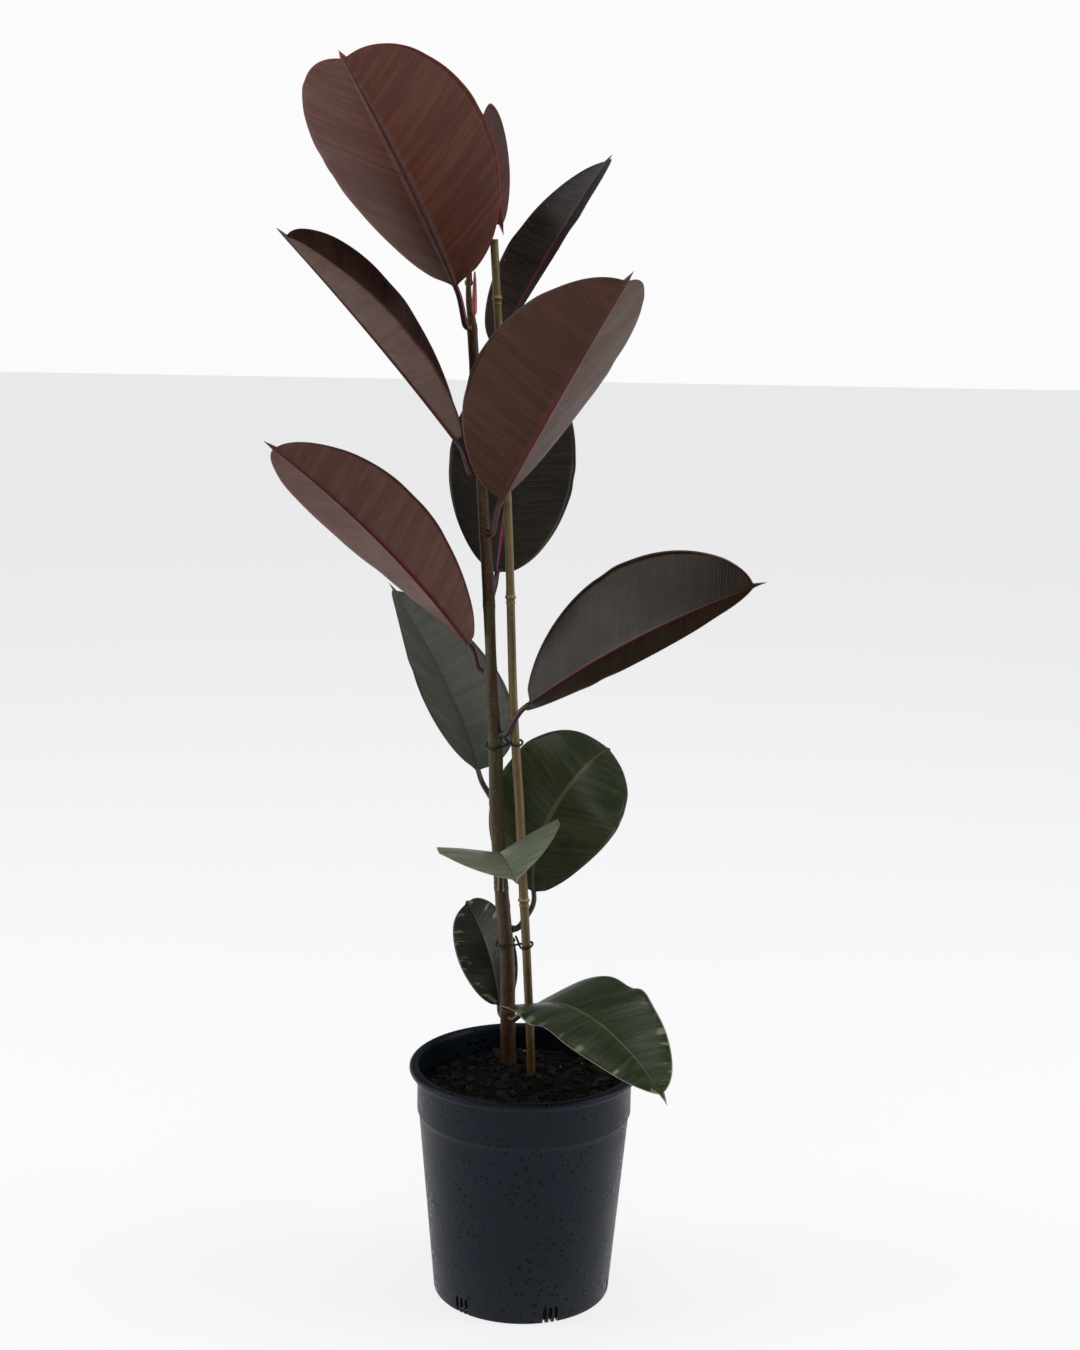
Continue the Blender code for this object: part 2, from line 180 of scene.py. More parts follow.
FLOOR_REACH = 14.0
floor_mesh = bpy.data.meshes.new("floor")
floor_mesh.from_pydata(
    [(-FLOOR_REACH, -FLOOR_REACH, 0), (FLOOR_REACH, -FLOOR_REACH, 0),
     (FLOOR_REACH, FLOOR_REACH, 0), (-FLOOR_REACH, FLOOR_REACH, 0)], [], [(0, 1, 2, 3)])
pale, _, pale_shader = new_material("matt_white_studio_floor")
pale_shader.inputs["Base Color"].default_value = linear("#8c8c8c")
pale_shader.inputs["Emission Color"].default_value = linear("#fbfbfc")
pale_shader.inputs["Emission Strength"].default_value = 0.80
pale_shader.inputs["Roughness"].default_value = 0.9
pale_shader.inputs["Specular IOR Level"].default_value = 0.1
floor = show("studio_floor", floor_mesh, [pale])


def lamp(name, place, aim, width, height, power):
    """A soft rectangular lamp that faces a point."""
    data = bpy.data.lights.new(name, "AREA")
    data.shape = "RECTANGLE"
    data.size, data.size_y = width, height
    data.energy = power
    made = bpy.data.objects.new(name, data)
    made.location = place
    made.rotation_euler = (Vector(aim) - Vector(place)).to_track_quat("-Z", "Y").to_euler()
    bpy.context.scene.collection.objects.link(made)


lamp("lamp_left", (-2.3, -0.2, 1.1), (0, 0, 0.55), 1.1, 2.2, 24)
lamp("lamp_right", (2.3, -0.2, 1.1), (0, 0, 0.55), 1.1, 2.2, 24)
lamp("lamp_above", (0, 0.2, 3.0), (0, 0, 0.5), 2.4, 2.0, 32)
lamp("lamp_front", (0.3, -3.2, 2.2), (0, 0, 0.5), 2.2, 1.2, 10)


# ================================================================ pot
# A black nursery pot, injection-moulded in polypropylene in one piece: rolled rim with a fine
# groove, a collar, a small step where pots stack, and drain slots moulded round the foot.

POT_HEIGHT = 0.2074
RIM_RADIUS = 0.1000
LIP = 0.0039
COLLAR_RADIUS = 0.0929
STEP_HEIGHT = 0.1658
STEP_DEPTH = 0.0014
BASE_RADIUS = 0.0771
BASE_ROUNDING = 0.0026
WALL = 0.0015
FLOOR = 0.0020
POT_SIDES = 192
SLOT_GROUPS = 6
SLOTS_IN_GROUP = 3
SLOT_WIDTH = 0.0030
SLOT_PITCH = 0.0052
SLOT_HEIGHT = 0.0150
SLOT_REACH = 0.0085
FIRST_SLOT_HEADING = 229.5


def arc(centre, radius, first, last, steps):
    """Points of (r, z) on a circle between two angles in degrees."""
    angles = np.radians(np.linspace(first, last, steps))
    return [(centre[0] + radius * math.cos(a), centre[1] + radius * math.sin(a)) for a in angles]


def line_points(start, end, steps):
    """Evenly spread points of (r, z) from start up to, but not at, end."""
    return [tuple(np.array(start) + (np.array(end) - np.array(start)) * i / steps)
            for i in range(steps)]


def lofted(name, rings, first, last, inward=False, sharp=None):
    """A smooth closed mesh through rings of points, with a fan to a point at each end. The rings
    turn anticlockwise as seen from the last one, or clockwise if inward is set."""
    rows, sides = rings.shape[:2]
    low = np.arange(rows - 1)[:, None] * sides
    j = np.arange(sides)[None]
    k = (j + 1) % sides
    quads = np.stack([low + j, low + k, low + sides + k, low + sides + j], -1).reshape(-1, 4)
    top = (rows - 1) * sides
    fans = [(rows * sides, b, a) for a, b in zip(j[0], k[0])]
    fans += [(rows * sides + 1, top + a, top + b) for a, b in zip(j[0], k[0])]
    if inward:
        quads = quads[:, [0, 3, 2, 1]]
        fans = [fan[::-1] for fan in fans]
    made = bpy.data.meshes.new(name)
    made.from_pydata(np.vstack([rings.reshape(-1, 3), first, last]), [], quads.tolist() + fans)
    made.shade_smooth()
    if sharp:
        made.set_sharp_from_angle(angle=math.radians(sharp))
    return made


def turned_mesh(name, profile, sides, sharp=None):
    """A closed mesh turned about Z from (r, z) points that start and end on the axis."""
    radius, height = (np.array(profile[1:-1])[:, i, None] for i in (0, 1))
    turn = np.linspace(0, math.tau, sides, endpoint=False)
    rings = np.stack([radius * np.cos(turn), radius * np.sin(turn), height + 0 * turn], axis=2)
    return lofted(name, rings, (0, 0, profile[0][1]), (0, 0, profile[-1][1]), sharp=sharp)


def pot_profile():
    """Centre of the base, up the outer side, over the rim and down the inner side."""
    lip_centre = (RIM_RADIUS - LIP, POT_HEIGHT - LIP)
    wall_top = (COLLAR_RADIUS - STEP_DEPTH, STEP_HEIGHT - 0.0006)
    under_lip = POT_HEIGHT - 2 * LIP
    groove = 0.00045
    outer = [(0, 0), (0.030, 0), (0.058, 0)]
    outer += arc((BASE_RADIUS - BASE_ROUNDING, BASE_ROUNDING), BASE_ROUNDING, -90, 0, 7)
    outer += line_points((BASE_RADIUS, BASE_ROUNDING), wall_top, 30)[1:]
    outer += [wall_top, (wall_top[0] + 0.0003, STEP_HEIGHT - 0.0003),
              (COLLAR_RADIUS - 0.0002, STEP_HEIGHT), (COLLAR_RADIUS, STEP_HEIGHT + 0.0004)]
    outer += line_points((COLLAR_RADIUS, STEP_HEIGHT + 0.0008), (COLLAR_RADIUS, under_lip), 8)
    outer += [(COLLAR_RADIUS + 0.0004, under_lip)]
    outer += arc(lip_centre, LIP, -80, -14, 8)
    outer += [(RIM_RADIUS - groove, POT_HEIGHT - LIP + 0.0003)]
    outer += arc(lip_centre, LIP, 14, 88, 9)
    inner = [(lip_centre[0] - 0.0022, POT_HEIGHT - 0.0002),
             (COLLAR_RADIUS - WALL + 0.0008, POT_HEIGHT - 0.0012),
             (COLLAR_RADIUS - WALL + 0.0001, POT_HEIGHT - 0.0030)]
    inner += line_points((COLLAR_RADIUS - WALL, POT_HEIGHT - 0.006),
                         (COLLAR_RADIUS - WALL, STEP_HEIGHT + 0.0014), 6)
    inner += [(COLLAR_RADIUS - STEP_DEPTH - WALL, STEP_HEIGHT)]
    inner += line_points((COLLAR_RADIUS - STEP_DEPTH - WALL - 0.0002, STEP_HEIGHT - 0.003),
                         (BASE_RADIUS - WALL, 0.004), 10)
    inner += [(BASE_RADIUS - WALL, 0.0034), (BASE_RADIUS - WALL - 0.0014, FLOOR), (0.05, FLOOR)]
    return outer + inner + [(0, FLOOR)]


def slot_boxes():
    """One mesh of upright boxes where the drain slots are, each a little narrower at the top."""
    corners, faces = [], []
    middle = (SLOTS_IN_GROUP - 1) / 2
    for group in range(SLOT_GROUPS):
        heading = math.radians(FIRST_SLOT_HEADING + 360 * group / SLOT_GROUPS)
        out = Vector((math.cos(heading), math.sin(heading), 0))
        side = Vector((-out.y, out.x, 0))
        for number in range(SLOTS_IN_GROUP):
            first = len(corners)
            shift = side * (number - middle) * SLOT_PITCH
            for height, half in ((-0.004, 0.5), (SLOT_HEIGHT - 0.001, 0.5), (SLOT_HEIGHT, 0.32)):
                for depth, across in ((-SLOT_REACH, -half), (0.006, -half), (0.006, half),
                                      (-SLOT_REACH, half)):
                    place = out * (BASE_RADIUS + depth) + shift + side * across * SLOT_WIDTH
                    corners.append(place + Vector((0, 0, height)))
            faces.append([first + i for i in (3, 2, 1, 0)])
            faces.append([first + i for i in (8, 9, 10, 11)])
            for floor_row in (0, 4):
                for i in range(4):
                    j = (i + 1) % 4
                    faces.append([first + floor_row + i, first + floor_row + j,
                                  first + floor_row + 4 + j, first + floor_row + 4 + i])
    made = bpy.data.meshes.new("slots")
    made.from_pydata(corners, [], faces)
    return made


def black_polypropylene():
    """Moulded black polypropylene, satin: the fine grain of the mould breaks the reflections,
    and watering has left dark wet-looking spots, a dusty bloom near the foot and pale specks."""
    made, tree, shader = new_material("black_polypropylene_moulded_satin")
    where = object_place(tree)
    height = add(tree, "ShaderNodeSeparateXYZ", {0: where}).outputs["Z"]
    cloud = noise(tree, where, 28.0, 6.0, Roughness=0.62)
    grain = noise(tree, where, 900.0, 3.0)
    squash = squashed(tree, where, 0.35)
    runs = noise(tree, squash, 120.0, 3.0)
    spots = cells(tree, where, 165.0)
    spot = ramp(tree, spots.outputs["Distance"], 0.33, 0.27, kind="SMOOTHSTEP")
    patch = ramp(tree, cloud, 0.46, 0.5)
    wet = maths(tree, "MULTIPLY", spot, patch)
    dust_height = ramp(tree, height, 0.06, 0.004, most=0.55)
    dust = maths(tree, "MULTIPLY", dust_height, runs)
    specks = cells(tree, where, 160.0)
    speck = ramp(tree, specks.outputs["Distance"], 0.085, 0.05)
    few = maths(tree, "GREATER_THAN", specks.outputs["Color"], 0.9)
    pale_speck = maths(tree, "MULTIPLY", speck, few)
    plain = mix(tree, cloud, "#0d131c", "#18202b")
    dusty = mix(tree, dust, plain, "#2a2c2f")
    damp = mix(tree, wet, dusty, "#020203")
    final = mix(tree, pale_speck, damp, "#6d6558")
    feed(tree, shader, {"Base Color": final})
    rough = ramp(tree, cloud, 0.3, 0.7, most=0.46, least=0.3)
    gloss = add(tree, "ShaderNodeMix", {"Factor": wet, "A": rough}, {"B": 0.12},
                data_type="FLOAT")
    feed(tree, shader, {"Roughness": gloss.outputs["Result"], "IOR": 1.49,
                        "Specular IOR Level": 0.14})
    height_sum = maths(tree, "ADD", wet, grain)
    bumpy(tree, shader, height_sum, 0.5, 0.0005)
    return made


POT_PLASTIC = black_polypropylene()
pot = show("pot_shell", turned_mesh("pot_shell", pot_profile(), POT_SIDES, sharp=50), [POT_PLASTIC])
slots = show("drain_slots", slot_boxes(), [])
slotting = pot.modifiers.new("drain_slots", "BOOLEAN")
slotting.object = slots
slotting.operation = "DIFFERENCE"
slotting.solver = "EXACT"


def keep_result(piece):
    """Turns the piece's evaluated shape into its own plain mesh and drops its modifiers."""
    bpy.context.view_layer.update()
    graph = bpy.context.evaluated_depsgraph_get()
    mesh = bpy.data.meshes.new_from_object(piece.evaluated_get(graph))
    piece.modifiers.clear()
    piece.data = mesh
    mesh.name = piece.name


keep_result(pot)
bpy.data.objects.remove(slots)
pot.data.set_sharp_from_angle(angle=math.radians(50))
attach(pot, "root")
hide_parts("pot")


# ================================================================ stem
# One upright woody stem. Young rubber plant bark is smooth and green-brown; each fallen or
# living leaf leaves a ring scar right round it, and small pale breathing pores dot the bark.

STEM_LINE = np.array((
    (-0.0145, 0.0450, 0.1440, 0.0066),
    (-0.0150, 0.0450, 0.1894, 0.0068),
    (-0.0171, 0.0400, 0.2841, 0.0064),
    (-0.0233, 0.0360, 0.3573, 0.0062),
    (-0.0280, 0.0330, 0.4254, 0.0061),
    (-0.0295, 0.0320, 0.4788, 0.0060),
    (-0.0326, 0.0310, 0.5211, 0.0054),
    (-0.0347, 0.0300, 0.5630, 0.0048),
    (-0.0378, 0.0300, 0.6222, 0.0052),
    (-0.0429, 0.0300, 0.6918, 0.0046),
    (-0.0528, 0.0300, 0.8229, 0.0043),
    (-0.0540, 0.0300, 0.8400, 0.0036),
    (-0.0566, 0.0300, 0.8580, 0.0026),
    (-0.0572, 0.0300, 0.8790, 0.0019),
))
SCAR_HEIGHTS = (0.239, 0.262, 0.305, 0.338, 0.354, 0.431, 0.489, 0.508, 0.546, 0.604, 0.664,
                0.715, 0.799, 0.835)
STEM_SIDES = 36
STEM_RING_EVERY = 0.0011


def smooth_line(points, count):
    """Evenly spread rows of a Catmull-Rom curve through the given rows."""
    points = np.array(points, float)
    ends = np.vstack([points[:1], points, points[-1:]])
    place = np.linspace(0, len(points) - 1, count)
    k = np.minimum(place.astype(int), len(points) - 2)
    t = (place - k)[:, None]
    a, b, c, d = (ends[k + i] for i in range(4))
    return 0.5 * (2 * b + (c - a) * t + (2 * a - 5 * b + 4 * c - d) * t**2
                  + (3 * b - a - 3 * c + d) * t**3)


def by_height(line, heights):
    """(x, y, z, radius) rows of a smooth line at the given heights."""
    fine = smooth_line(line, 600)
    columns = [np.interp(heights, fine[:, 2], fine[:, i]) for i in range(4)]
    return np.stack(columns, axis=1)


def upright_rod(name, rows, sides, around):
    """A closed rod through (x, y, z, radius) rows; around(z, angle) scales its radius."""
    turn = np.linspace(0, math.tau, sides, endpoint=False)
    x, y, z, radius = (rows[:, i, None] for i in range(4))
    radius = radius * around(z, turn[None, :])
    rings = np.stack([x + radius * np.cos(turn), y + radius * np.sin(turn), z + 0 * turn], axis=2)
    return lofted(name, rings, rows[0, :3], rows[-1, :3], sharp=60)


def stem_shape(z, turn):
    """Swellings at the ring scars, a flare at the foot and slow unevenness."""
    grow = 1 + 0.018 * np.sin(2 * turn + 31 * z) + 0.012 * np.sin(3 * turn - 57 * z)
    for scar in SCAR_HEIGHTS:
        grow = grow + 0.075 * np.exp(-(((z - scar) / 0.0042) ** 2))
        grow = grow - 0.070 * np.exp(-(((z - scar - 0.0012) / 0.0006) ** 2))
    flare = np.exp(-(((z - 0.188) / 0.007) ** 2))
    return grow + flare * (0.10 + 0.10 * np.cos(4 * turn + 0.6))


def young_bark():
    """Smooth young bark: olive green between some scars, red-brown between others, with fine
    upright fibres, pale pores and a slight waxy shine."""
    made, tree, shader = new_material("young_ficus_bark_smooth")
    where = object_place(tree)
    height = add(tree, "ShaderNodeSeparateXYZ", {0: where}).outputs["Z"]
    wander = noise(tree, where, 90.0, 4.0)
    shift = maths(tree, "MULTIPLY_ADD", wander, 0.006, -0.003)
    moved = maths(tree, "ADD", height, shift)
    bands = add(tree, "ShaderNodeValToRGB", {0: moved})
    stops = ((0.188, "#3a1d14"), (0.262, "#39260f"), (0.345, "#382a13"), (0.425, "#352a0e"),
             (0.436, "#34300d"), (0.488, "#332e0c"), (0.494, "#34160c"), (0.543, "#33170e"),
             (0.552, "#373110"), (0.600, "#362f10"), (0.608, "#31150b"), (0.660, "#351d0d"),
             (0.715, "#34240e"), (0.800, "#36230e"), (0.850, "#462a13"), (0.880, "#55381c"))
    while len(bands.color_ramp.elements) < len(stops):
        bands.color_ramp.elements.new(0.5)
    for element, (place, colour) in zip(bands.color_ramp.elements, stops):
        element.position = place
        element.color = linear(colour)
    stretch = squashed(tree, where, 0.06)
    fibres = noise(tree, stretch, 1400.0, 3.0)
    pores = cells(tree, where, 330.0)
    pore = ramp(tree, pores.outputs["Distance"], 0.22, 0.1)
    fibre_share = ramp(tree, fibres, 0.35, 0.75, most=0.22)
    streaky = mix(tree, fibre_share, bands.outputs[0], "#7a6a4a")
    pore_share = maths(tree, "MULTIPLY", pore, 0.35)
    dotted = mix(tree, pore_share, streaky, "#a08f6c")
    feed(tree, shader, {"Base Color": dotted, "Roughness": 0.46, "IOR": 1.45,
                        "Specular IOR Level": 0.3})
    both = maths(tree, "ADD", fibres, pore)
    bumpy(tree, shader, both, 0.45, 0.00025)
    return made


stem_heights = np.arange(STEM_LINE[0, 2], STEM_LINE[-1, 2], STEM_RING_EVERY)
stem_rows = by_height(STEM_LINE, stem_heights)
stem = show("stem_bark_skin",
            upright_rod("stem_bark_skin", stem_rows, STEM_SIDES, stem_shape), [young_bark()])
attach(stem, "root")
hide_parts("stem")


# ================================================================ bud sheath
# The thin pink-red sheath that wrapped the newest leaf still stands beside the stem's tip.
# It grew as a long pointed tube with fine lines along it.

SHEATH_FOOT = 0.846
SHEATH_LENGTH = 0.036
SHEATH_WIDTH = 0.0042
SHEATH_HEADING = math.radians(-60)
SHEATH_SIDES = 40
STALK_CLEAR = 0.0008                 # gap between the stem and what grows from it


def sheath_ridges(z, turn):
    return 1 + 0.05 * np.sin(9 * turn) + 0.03 * np.sin(4 * turn + 200 * z)


def sheath_mesh():
    """A slender pointed body with shallow lengthwise ridges."""
    x, y, _, stem_radius = by_height(STEM_LINE, np.array([SHEATH_FOOT]))[0]
    share = np.linspace(0, 0.995, 70)
    radius = SHEATH_WIDTH / 2 * np.sqrt(1 - share**2) * np.minimum(1.0, 0.6 + 5 * share)
    aside = stem_radius + STALK_CLEAR + SHEATH_WIDTH / 2
    centre = (x + aside * math.cos(SHEATH_HEADING), y + aside * math.sin(SHEATH_HEADING))
    rows = np.stack([np.full_like(share, centre[0]), np.full_like(share, centre[1]),
                     SHEATH_FOOT + SHEATH_LENGTH * share, radius], axis=1)
    return upright_rod("bud_sheath_skin", rows, SHEATH_SIDES, sheath_ridges)


def sheath_skin():
    """Waxy translucent pink-red skin, paler along its ridges, pinker at the foot and deeper red
    towards the tip.
    """
    made, tree, shader = new_material("pink_red_waxy_bud_sheath")
    where = object_place(tree)
    stretch = squashed(tree, where, 0.08)
    lines = noise(tree, stretch, 1500.0, 2.0)
    height = add(tree, "ShaderNodeSeparateXYZ", {0: where}).outputs["Z"]
    up = ramp(tree, height, SHEATH_FOOT, SHEATH_FOOT + SHEATH_LENGTH)
    body = mix(tree, up, "#b5566a", "#7a2c34")
    share = ramp(tree, lines, 0.4, 0.7, most=0.5)
    lined = mix(tree, share, body, "#d98a94")
    feed(tree, shader, {"Base Color": lined, "Roughness": 0.38, "Subsurface Weight": 0.15,
                        "Subsurface Scale": 0.002})
    bumpy(tree, shader, lines, 0.3, 0.0002)
    return made


sheath = show("bud_sheath_skin", sheath_mesh(), [sheath_skin()])
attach(sheath, "root")
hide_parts("bud_sheath")


# ================================================================ bamboo cane
# A dry bamboo cane pushed into the mix beside the stem and sawn off square at the top. It has
# a raised double ring at each joint and a small hollow down its middle.

CANE_LINE = np.array((
    (0.0060, 0.0170, 0.0700, 0.0036),
    (0.0057, 0.0200, 0.1883, 0.0037),
    (0.0005, 0.0220, 0.2904, 0.0038),
    (-0.0041, 0.0240, 0.3612, 0.0040),
    (-0.0080, 0.0260, 0.4276, 0.0041),
    (-0.0149, 0.0290, 0.5218, 0.0037),
    (-0.0224, 0.0315, 0.6926, 0.0035),
    (-0.0366, 0.0345, 0.9075, 0.0034),
))
CANE_JOINTS = (0.3459, 0.6104, 0.8598)
CANE_SIDES = 36
CANE_RING_EVERY = 0.0014
HOLLOW_RADIUS = 0.0012
HOLLOW_DEPTH = 0.008


def cane_shape(z, turn):
    """The raised edge and the second, finer ring of each joint, and a flat groove above it."""
    grow = 1 + 0.012 * np.sin(2 * turn + 11 * z)
    for number, joint in enumerate(CANE_JOINTS):
        up = z - joint
        grow = grow + 0.26 * np.exp(-((up / 0.0011) ** 2)) + 0.10 * np.exp(-((up / 0.005) ** 2))
        grow = grow + 0.13 * np.exp(-(((up + 0.0048) / 0.0006) ** 2))
        grow = grow - 0.05 * np.exp(-(((up + 0.0026) / 0.0012) ** 2))
        side = np.clip(np.cos(turn - 1.2 - math.pi * number), 0, 1) ** 6
        grow = grow - 0.10 * side * np.exp(-np.clip(up, 0, 1) / 0.05) * (up > 0.002)
    return grow


def cane_mesh():
    """The cane's rings from its foot up, over the cut and down into the hollow."""
    top = CANE_LINE[-1, 2]
    heights = np.arange(CANE_LINE[0, 2], top, CANE_RING_EVERY)
    for joint in CANE_JOINTS:
        heights = heights[np.abs(heights - joint + 0.001) > 0.008]
        heights = np.concatenate([heights, joint - 0.001 + np.linspace(-0.008, 0.008, 54)])
    rows = by_height(CANE_LINE, np.sort(np.append(heights, top)))
    last = rows[-1]
    bevelled = [(last[0], last[1], top + 0.0002, last[3] - 0.0003)]
    hollow = [(last[0], last[1], top + 0.0002, HOLLOW_RADIUS + 0.0003),
              (last[0], last[1], top - 0.0002, HOLLOW_RADIUS),
              (last[0], last[1], top - HOLLOW_DEPTH, HOLLOW_RADIUS)]
    return upright_rod("cane_skin", np.vstack([rows, bevelled, hollow]), CANE_SIDES, cane_shape)


def dry_bamboo():
    """Dry bamboo skin: straw yellow with an olive cast, fine upright fibres, brown stains and
    small specks, a pale waxy ring under each joint and a dark line in it."""
    made, tree, shader = new_material("dry_bamboo_cane_skin")
    where = object_place(tree)
    height = add(tree, "ShaderNodeSeparateXYZ", {0: where}).outputs["Z"]
    stretch = squashed(tree, where, 0.02)
    fibres = noise(tree, stretch, 2200.0, 3.0)
    stain = noise(tree, where, 55.0, 5.0, Roughness=0.6)
    specks = cells(tree, where, 420.0)
    speck = ramp(tree, specks.outputs["Distance"], 0.16, 0.08, most=0.6)
    along = ramp(tree, height, 0.19, 0.91)
    body = mix(tree, along, "#5e4722", "#7c6d40")
    fibre_share = ramp(tree, fibres, 0.35, 0.7, most=0.45)
    fibred = mix(tree, fibre_share, body, "#4c3b1c")
    stain_share = ramp(tree, stain, 0.52, 0.75, most=0.7)
    stained = mix(tree, stain_share, fibred, "#352512")
    current = mix(tree, speck, stained, "#3a2a18")
    for joint in CANE_JOINTS:
        for offset, reach, colour, most in (
            (0.0012, 0.0016, "#a39465", 0.8), (-0.001, 0.0006, "#2c2012", 0.75),
            (-0.0042, 0.0005, "#9d8f60", 0.7)):
            away = maths(tree, "SUBTRACT", height, joint + offset)
            size = maths(tree, "ABSOLUTE", away)
            band = ramp(tree, size, reach, reach * 0.3, most=most)
            current = mix(tree, band, current, colour)
    feed(tree, shader, {"Base Color": current, "Roughness": 0.42, "IOR": 1.45})
    bumpy(tree, shader, fibres, 0.35, 0.0002)
    return made


cane = show("cane_skin", cane_mesh(), [dry_bamboo()])
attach(cane, "root")
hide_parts("bamboo_stake")


# ================================================================ leaves
# Thirteen thick waxy leaves, each grown as one piece with its stalk: glossy above, duller and
# redder beneath, a stout midrib, many fine side veins nearly square to it, and a drip tip.

LEAF_THICKNESS = 0.0008
STALK_RADIUS = 0.0028
MIDRIB_RADIUS = 0.0018
DRIP_TIP = 0.045                     # share of the blade that is the narrow pointed tip
TURN_LENGTH = 0.010                  # over which a stalk turns up from the stem
FULLNESS = 0.55                      # below 1 the outline is fuller than a sine curve
VEIN_SPACING = 0.0062
VEIN_SLANT = 0.34                    # how far a side vein runs tipwards for each metre outwards
HALF_COLUMNS = 18
RIB_COLUMNS = 5

# Where a leaf leaves the stem and which way (degrees round from +X), its stalk's length and rise,
# the blade's length and half width, its rise at the base and at the tip, how far it swings round
# on the way, its roll about the midrib, how far the halves fold up and curl (degrees), where it
# is widest (share of its length) and how high its margin waves.
Leaf = namedtuple("Leaf", "height heading stalk stalk_rise length half_width rise_base rise_tip"
                          " swing roll fold curl widest wave", defaults=(0.48, 0.0004))
LEAVES = (
    Leaf(0.836, 240, 0.042, 69, 0.270, 0.080, 51, 26, 16, 21, 31, 5, 0.44),
    Leaf(0.872, 89, 0.012, 88, 0.228, 0.057, 95, -72, -15, -56, 26, 1, 0.48),
    Leaf(0.799, 45, 0.031, 55, 0.219, 0.052, 55, 41, 8, -17, 19, -4, 0.49),
    Leaf(0.715, 215, 0.037, 70, 0.239, 0.062, 48, 42, 3, -31, 30, 4, 0.52),
    Leaf(0.665, 305, 0.038, 74, 0.268, 0.073, 49, 41, -7, -4, 29, 4, 0.49),
    Leaf(0.607, 81, 0.038, 27, 0.229, 0.057, 56, 56, -7, 26, 8, -13, 0.49),
    Leaf(0.546, 170, 0.028, 78, 0.247, 0.063, 52, 37, 35, 38, 17, -6, 0.50),
    Leaf(0.430, 108, 0.054, 12, 0.224, 0.057, 37, 44, 29, 15, 21, -3, 0.45),
    Leaf(0.492, 326, 0.042, 59, 0.247, 0.068, 37, 23, 11, 44, 25, 1, 0.50),
    Leaf(0.3145, 14, 0.041, 57, 0.186, 0.057, 97, -11, 60, 39, 6, -12, 0.47, 0.0020),
    Leaf(0.354, 269, 0.058, 56, 0.195, 0.053, 25, -5, 12, 13, 21, -2, 0.59, 0.0008),
    Leaf(0.231, 123, 0.012, 88, 0.114, 0.029, 79, 10, -12, -38, 22, -2, 0.47, 0.0012),
    Leaf(0.234, 296, 0.030, 34, 0.222, 0.053, 36, -46, 19, 7, 14, -9, 0.47, 0.0026),
)


def ease(t):
    """0 to 1 with flat ends."""
    t = np.clip(t, 0, 1)
    return t * t * (3 - 2 * t)


def direction(heading, rise):
    """Unit vectors at headings and rises, in radians."""
    return np.stack([np.cos(rise) * np.cos(heading), np.cos(rise) * np.sin(heading),
                     np.sin(rise) + 0 * heading], axis=-1)


def midline(leaf, part, start, shares):
    """Places, directions and headings at shares of a stalk or a blade that begins at start."""
    length = leaf.stalk if part == "stalk" else leaf.length

    def course(share):
        heading = math.radians(leaf.heading) + 0 * share
        if part == "stalk":
            rise = leaf.stalk_rise * ease(share * length / TURN_LENGTH)
            rise = rise + (leaf.rise_base - leaf.stalk_rise) * ease((share - 0.5) / 0.5)
        else:
            rise = leaf.rise_base + (leaf.rise_tip - leaf.rise_base) * share
            heading = heading + math.radians(leaf.swing) * share
        return heading, np.radians(rise)

    steps = np.linspace(0, 1, 201)
    moves = direction(*course(steps))[:-1] * (length / 200)
    track = np.vstack([[start], start + np.cumsum(moves, axis=0)])
    places = np.stack([np.interp(shares, steps, track[:, i]) for i in range(3)], axis=1)
    heading, rise = course(shares)
    return places, direction(heading, rise), heading


def half_widths(leaf, share):
    """Half the blade's width at shares of its length: an oval, then a narrow pointed tip."""
    oval = np.minimum(share / (1 - DRIP_TIP), 1)
    body = np.maximum(np.sin(math.pi * oval ** (math.log(0.5) / math.log(leaf.widest))), 0)
    tip = np.minimum(0.0030 * (1 - share) / DRIP_TIP, 0.0030)
    return np.maximum(np.maximum(leaf.half_width * body**FULLNESS, tip), 0.0004)


def blade_columns(leaf, share, width, phase):
    """For every row and column from margin to margin: reach outwards, lift and rib depth."""
    rib = np.minimum(MIDRIB_RADIUS * (1 - 0.78 * share), 0.6 * width)[:, None]
    j = np.arange(HALF_COLUMNS + 1)
    inside = rib * np.sin(np.minimum(j / RIB_COLUMNS, 1) * math.pi / 2)
    past = np.clip((j - RIB_COLUMNS) / (HALF_COLUMNS - RIB_COLUMNS), 0, 1)
    x = inside + (width[:, None] - rib) * past
    k = x / width[:, None]
    lean = np.radians(leaf.fold + leaf.curl * k / 2)
    along = (share * leaf.length)[:, None]
    calm = np.sin(math.pi * np.clip(share, 0, 1))[:, None] ** 0.5
    halves = []
    for side in (-1, 1):
        turn = along / 0.074 * math.tau + phase * side + 1.3 * np.sin(along / 0.11 * math.tau)
        wave = leaf.wave * calm * k**2.4 * np.sin(turn)
        veins = along - VEIN_SLANT * x + 0.0016 * np.sin(along / 0.05 + 3 * side)
        between = np.sin(math.pi * k) * np.cos(math.tau * veins / VEIN_SPACING)
        quilt = (0.035 * leaf.wave + 0.00002) * calm * between
        soft = np.sqrt(k**2 + 0.0012) - 0.0346
        lift = width[:, None] * soft * np.sin(lean) + wave + quilt
        out = width[:, None] * k * np.cos(lean) * (1 + 0.004 * k * np.sin(1.7 * turn + 1))
        lift = lift - 0.00030 * np.exp(-((x / 0.0009) ** 2))
        below = np.sqrt(np.maximum(1 - (x / rib) ** 2, 0)) * rib
        halves.append((side * out, lift, below, side * k, veins / VEIN_SPACING, width[:, None] - x))
    joined = []
    for left, right in zip(*halves):
        joined.append(np.hstack([left[:, :0:-1], right]))
    return joined


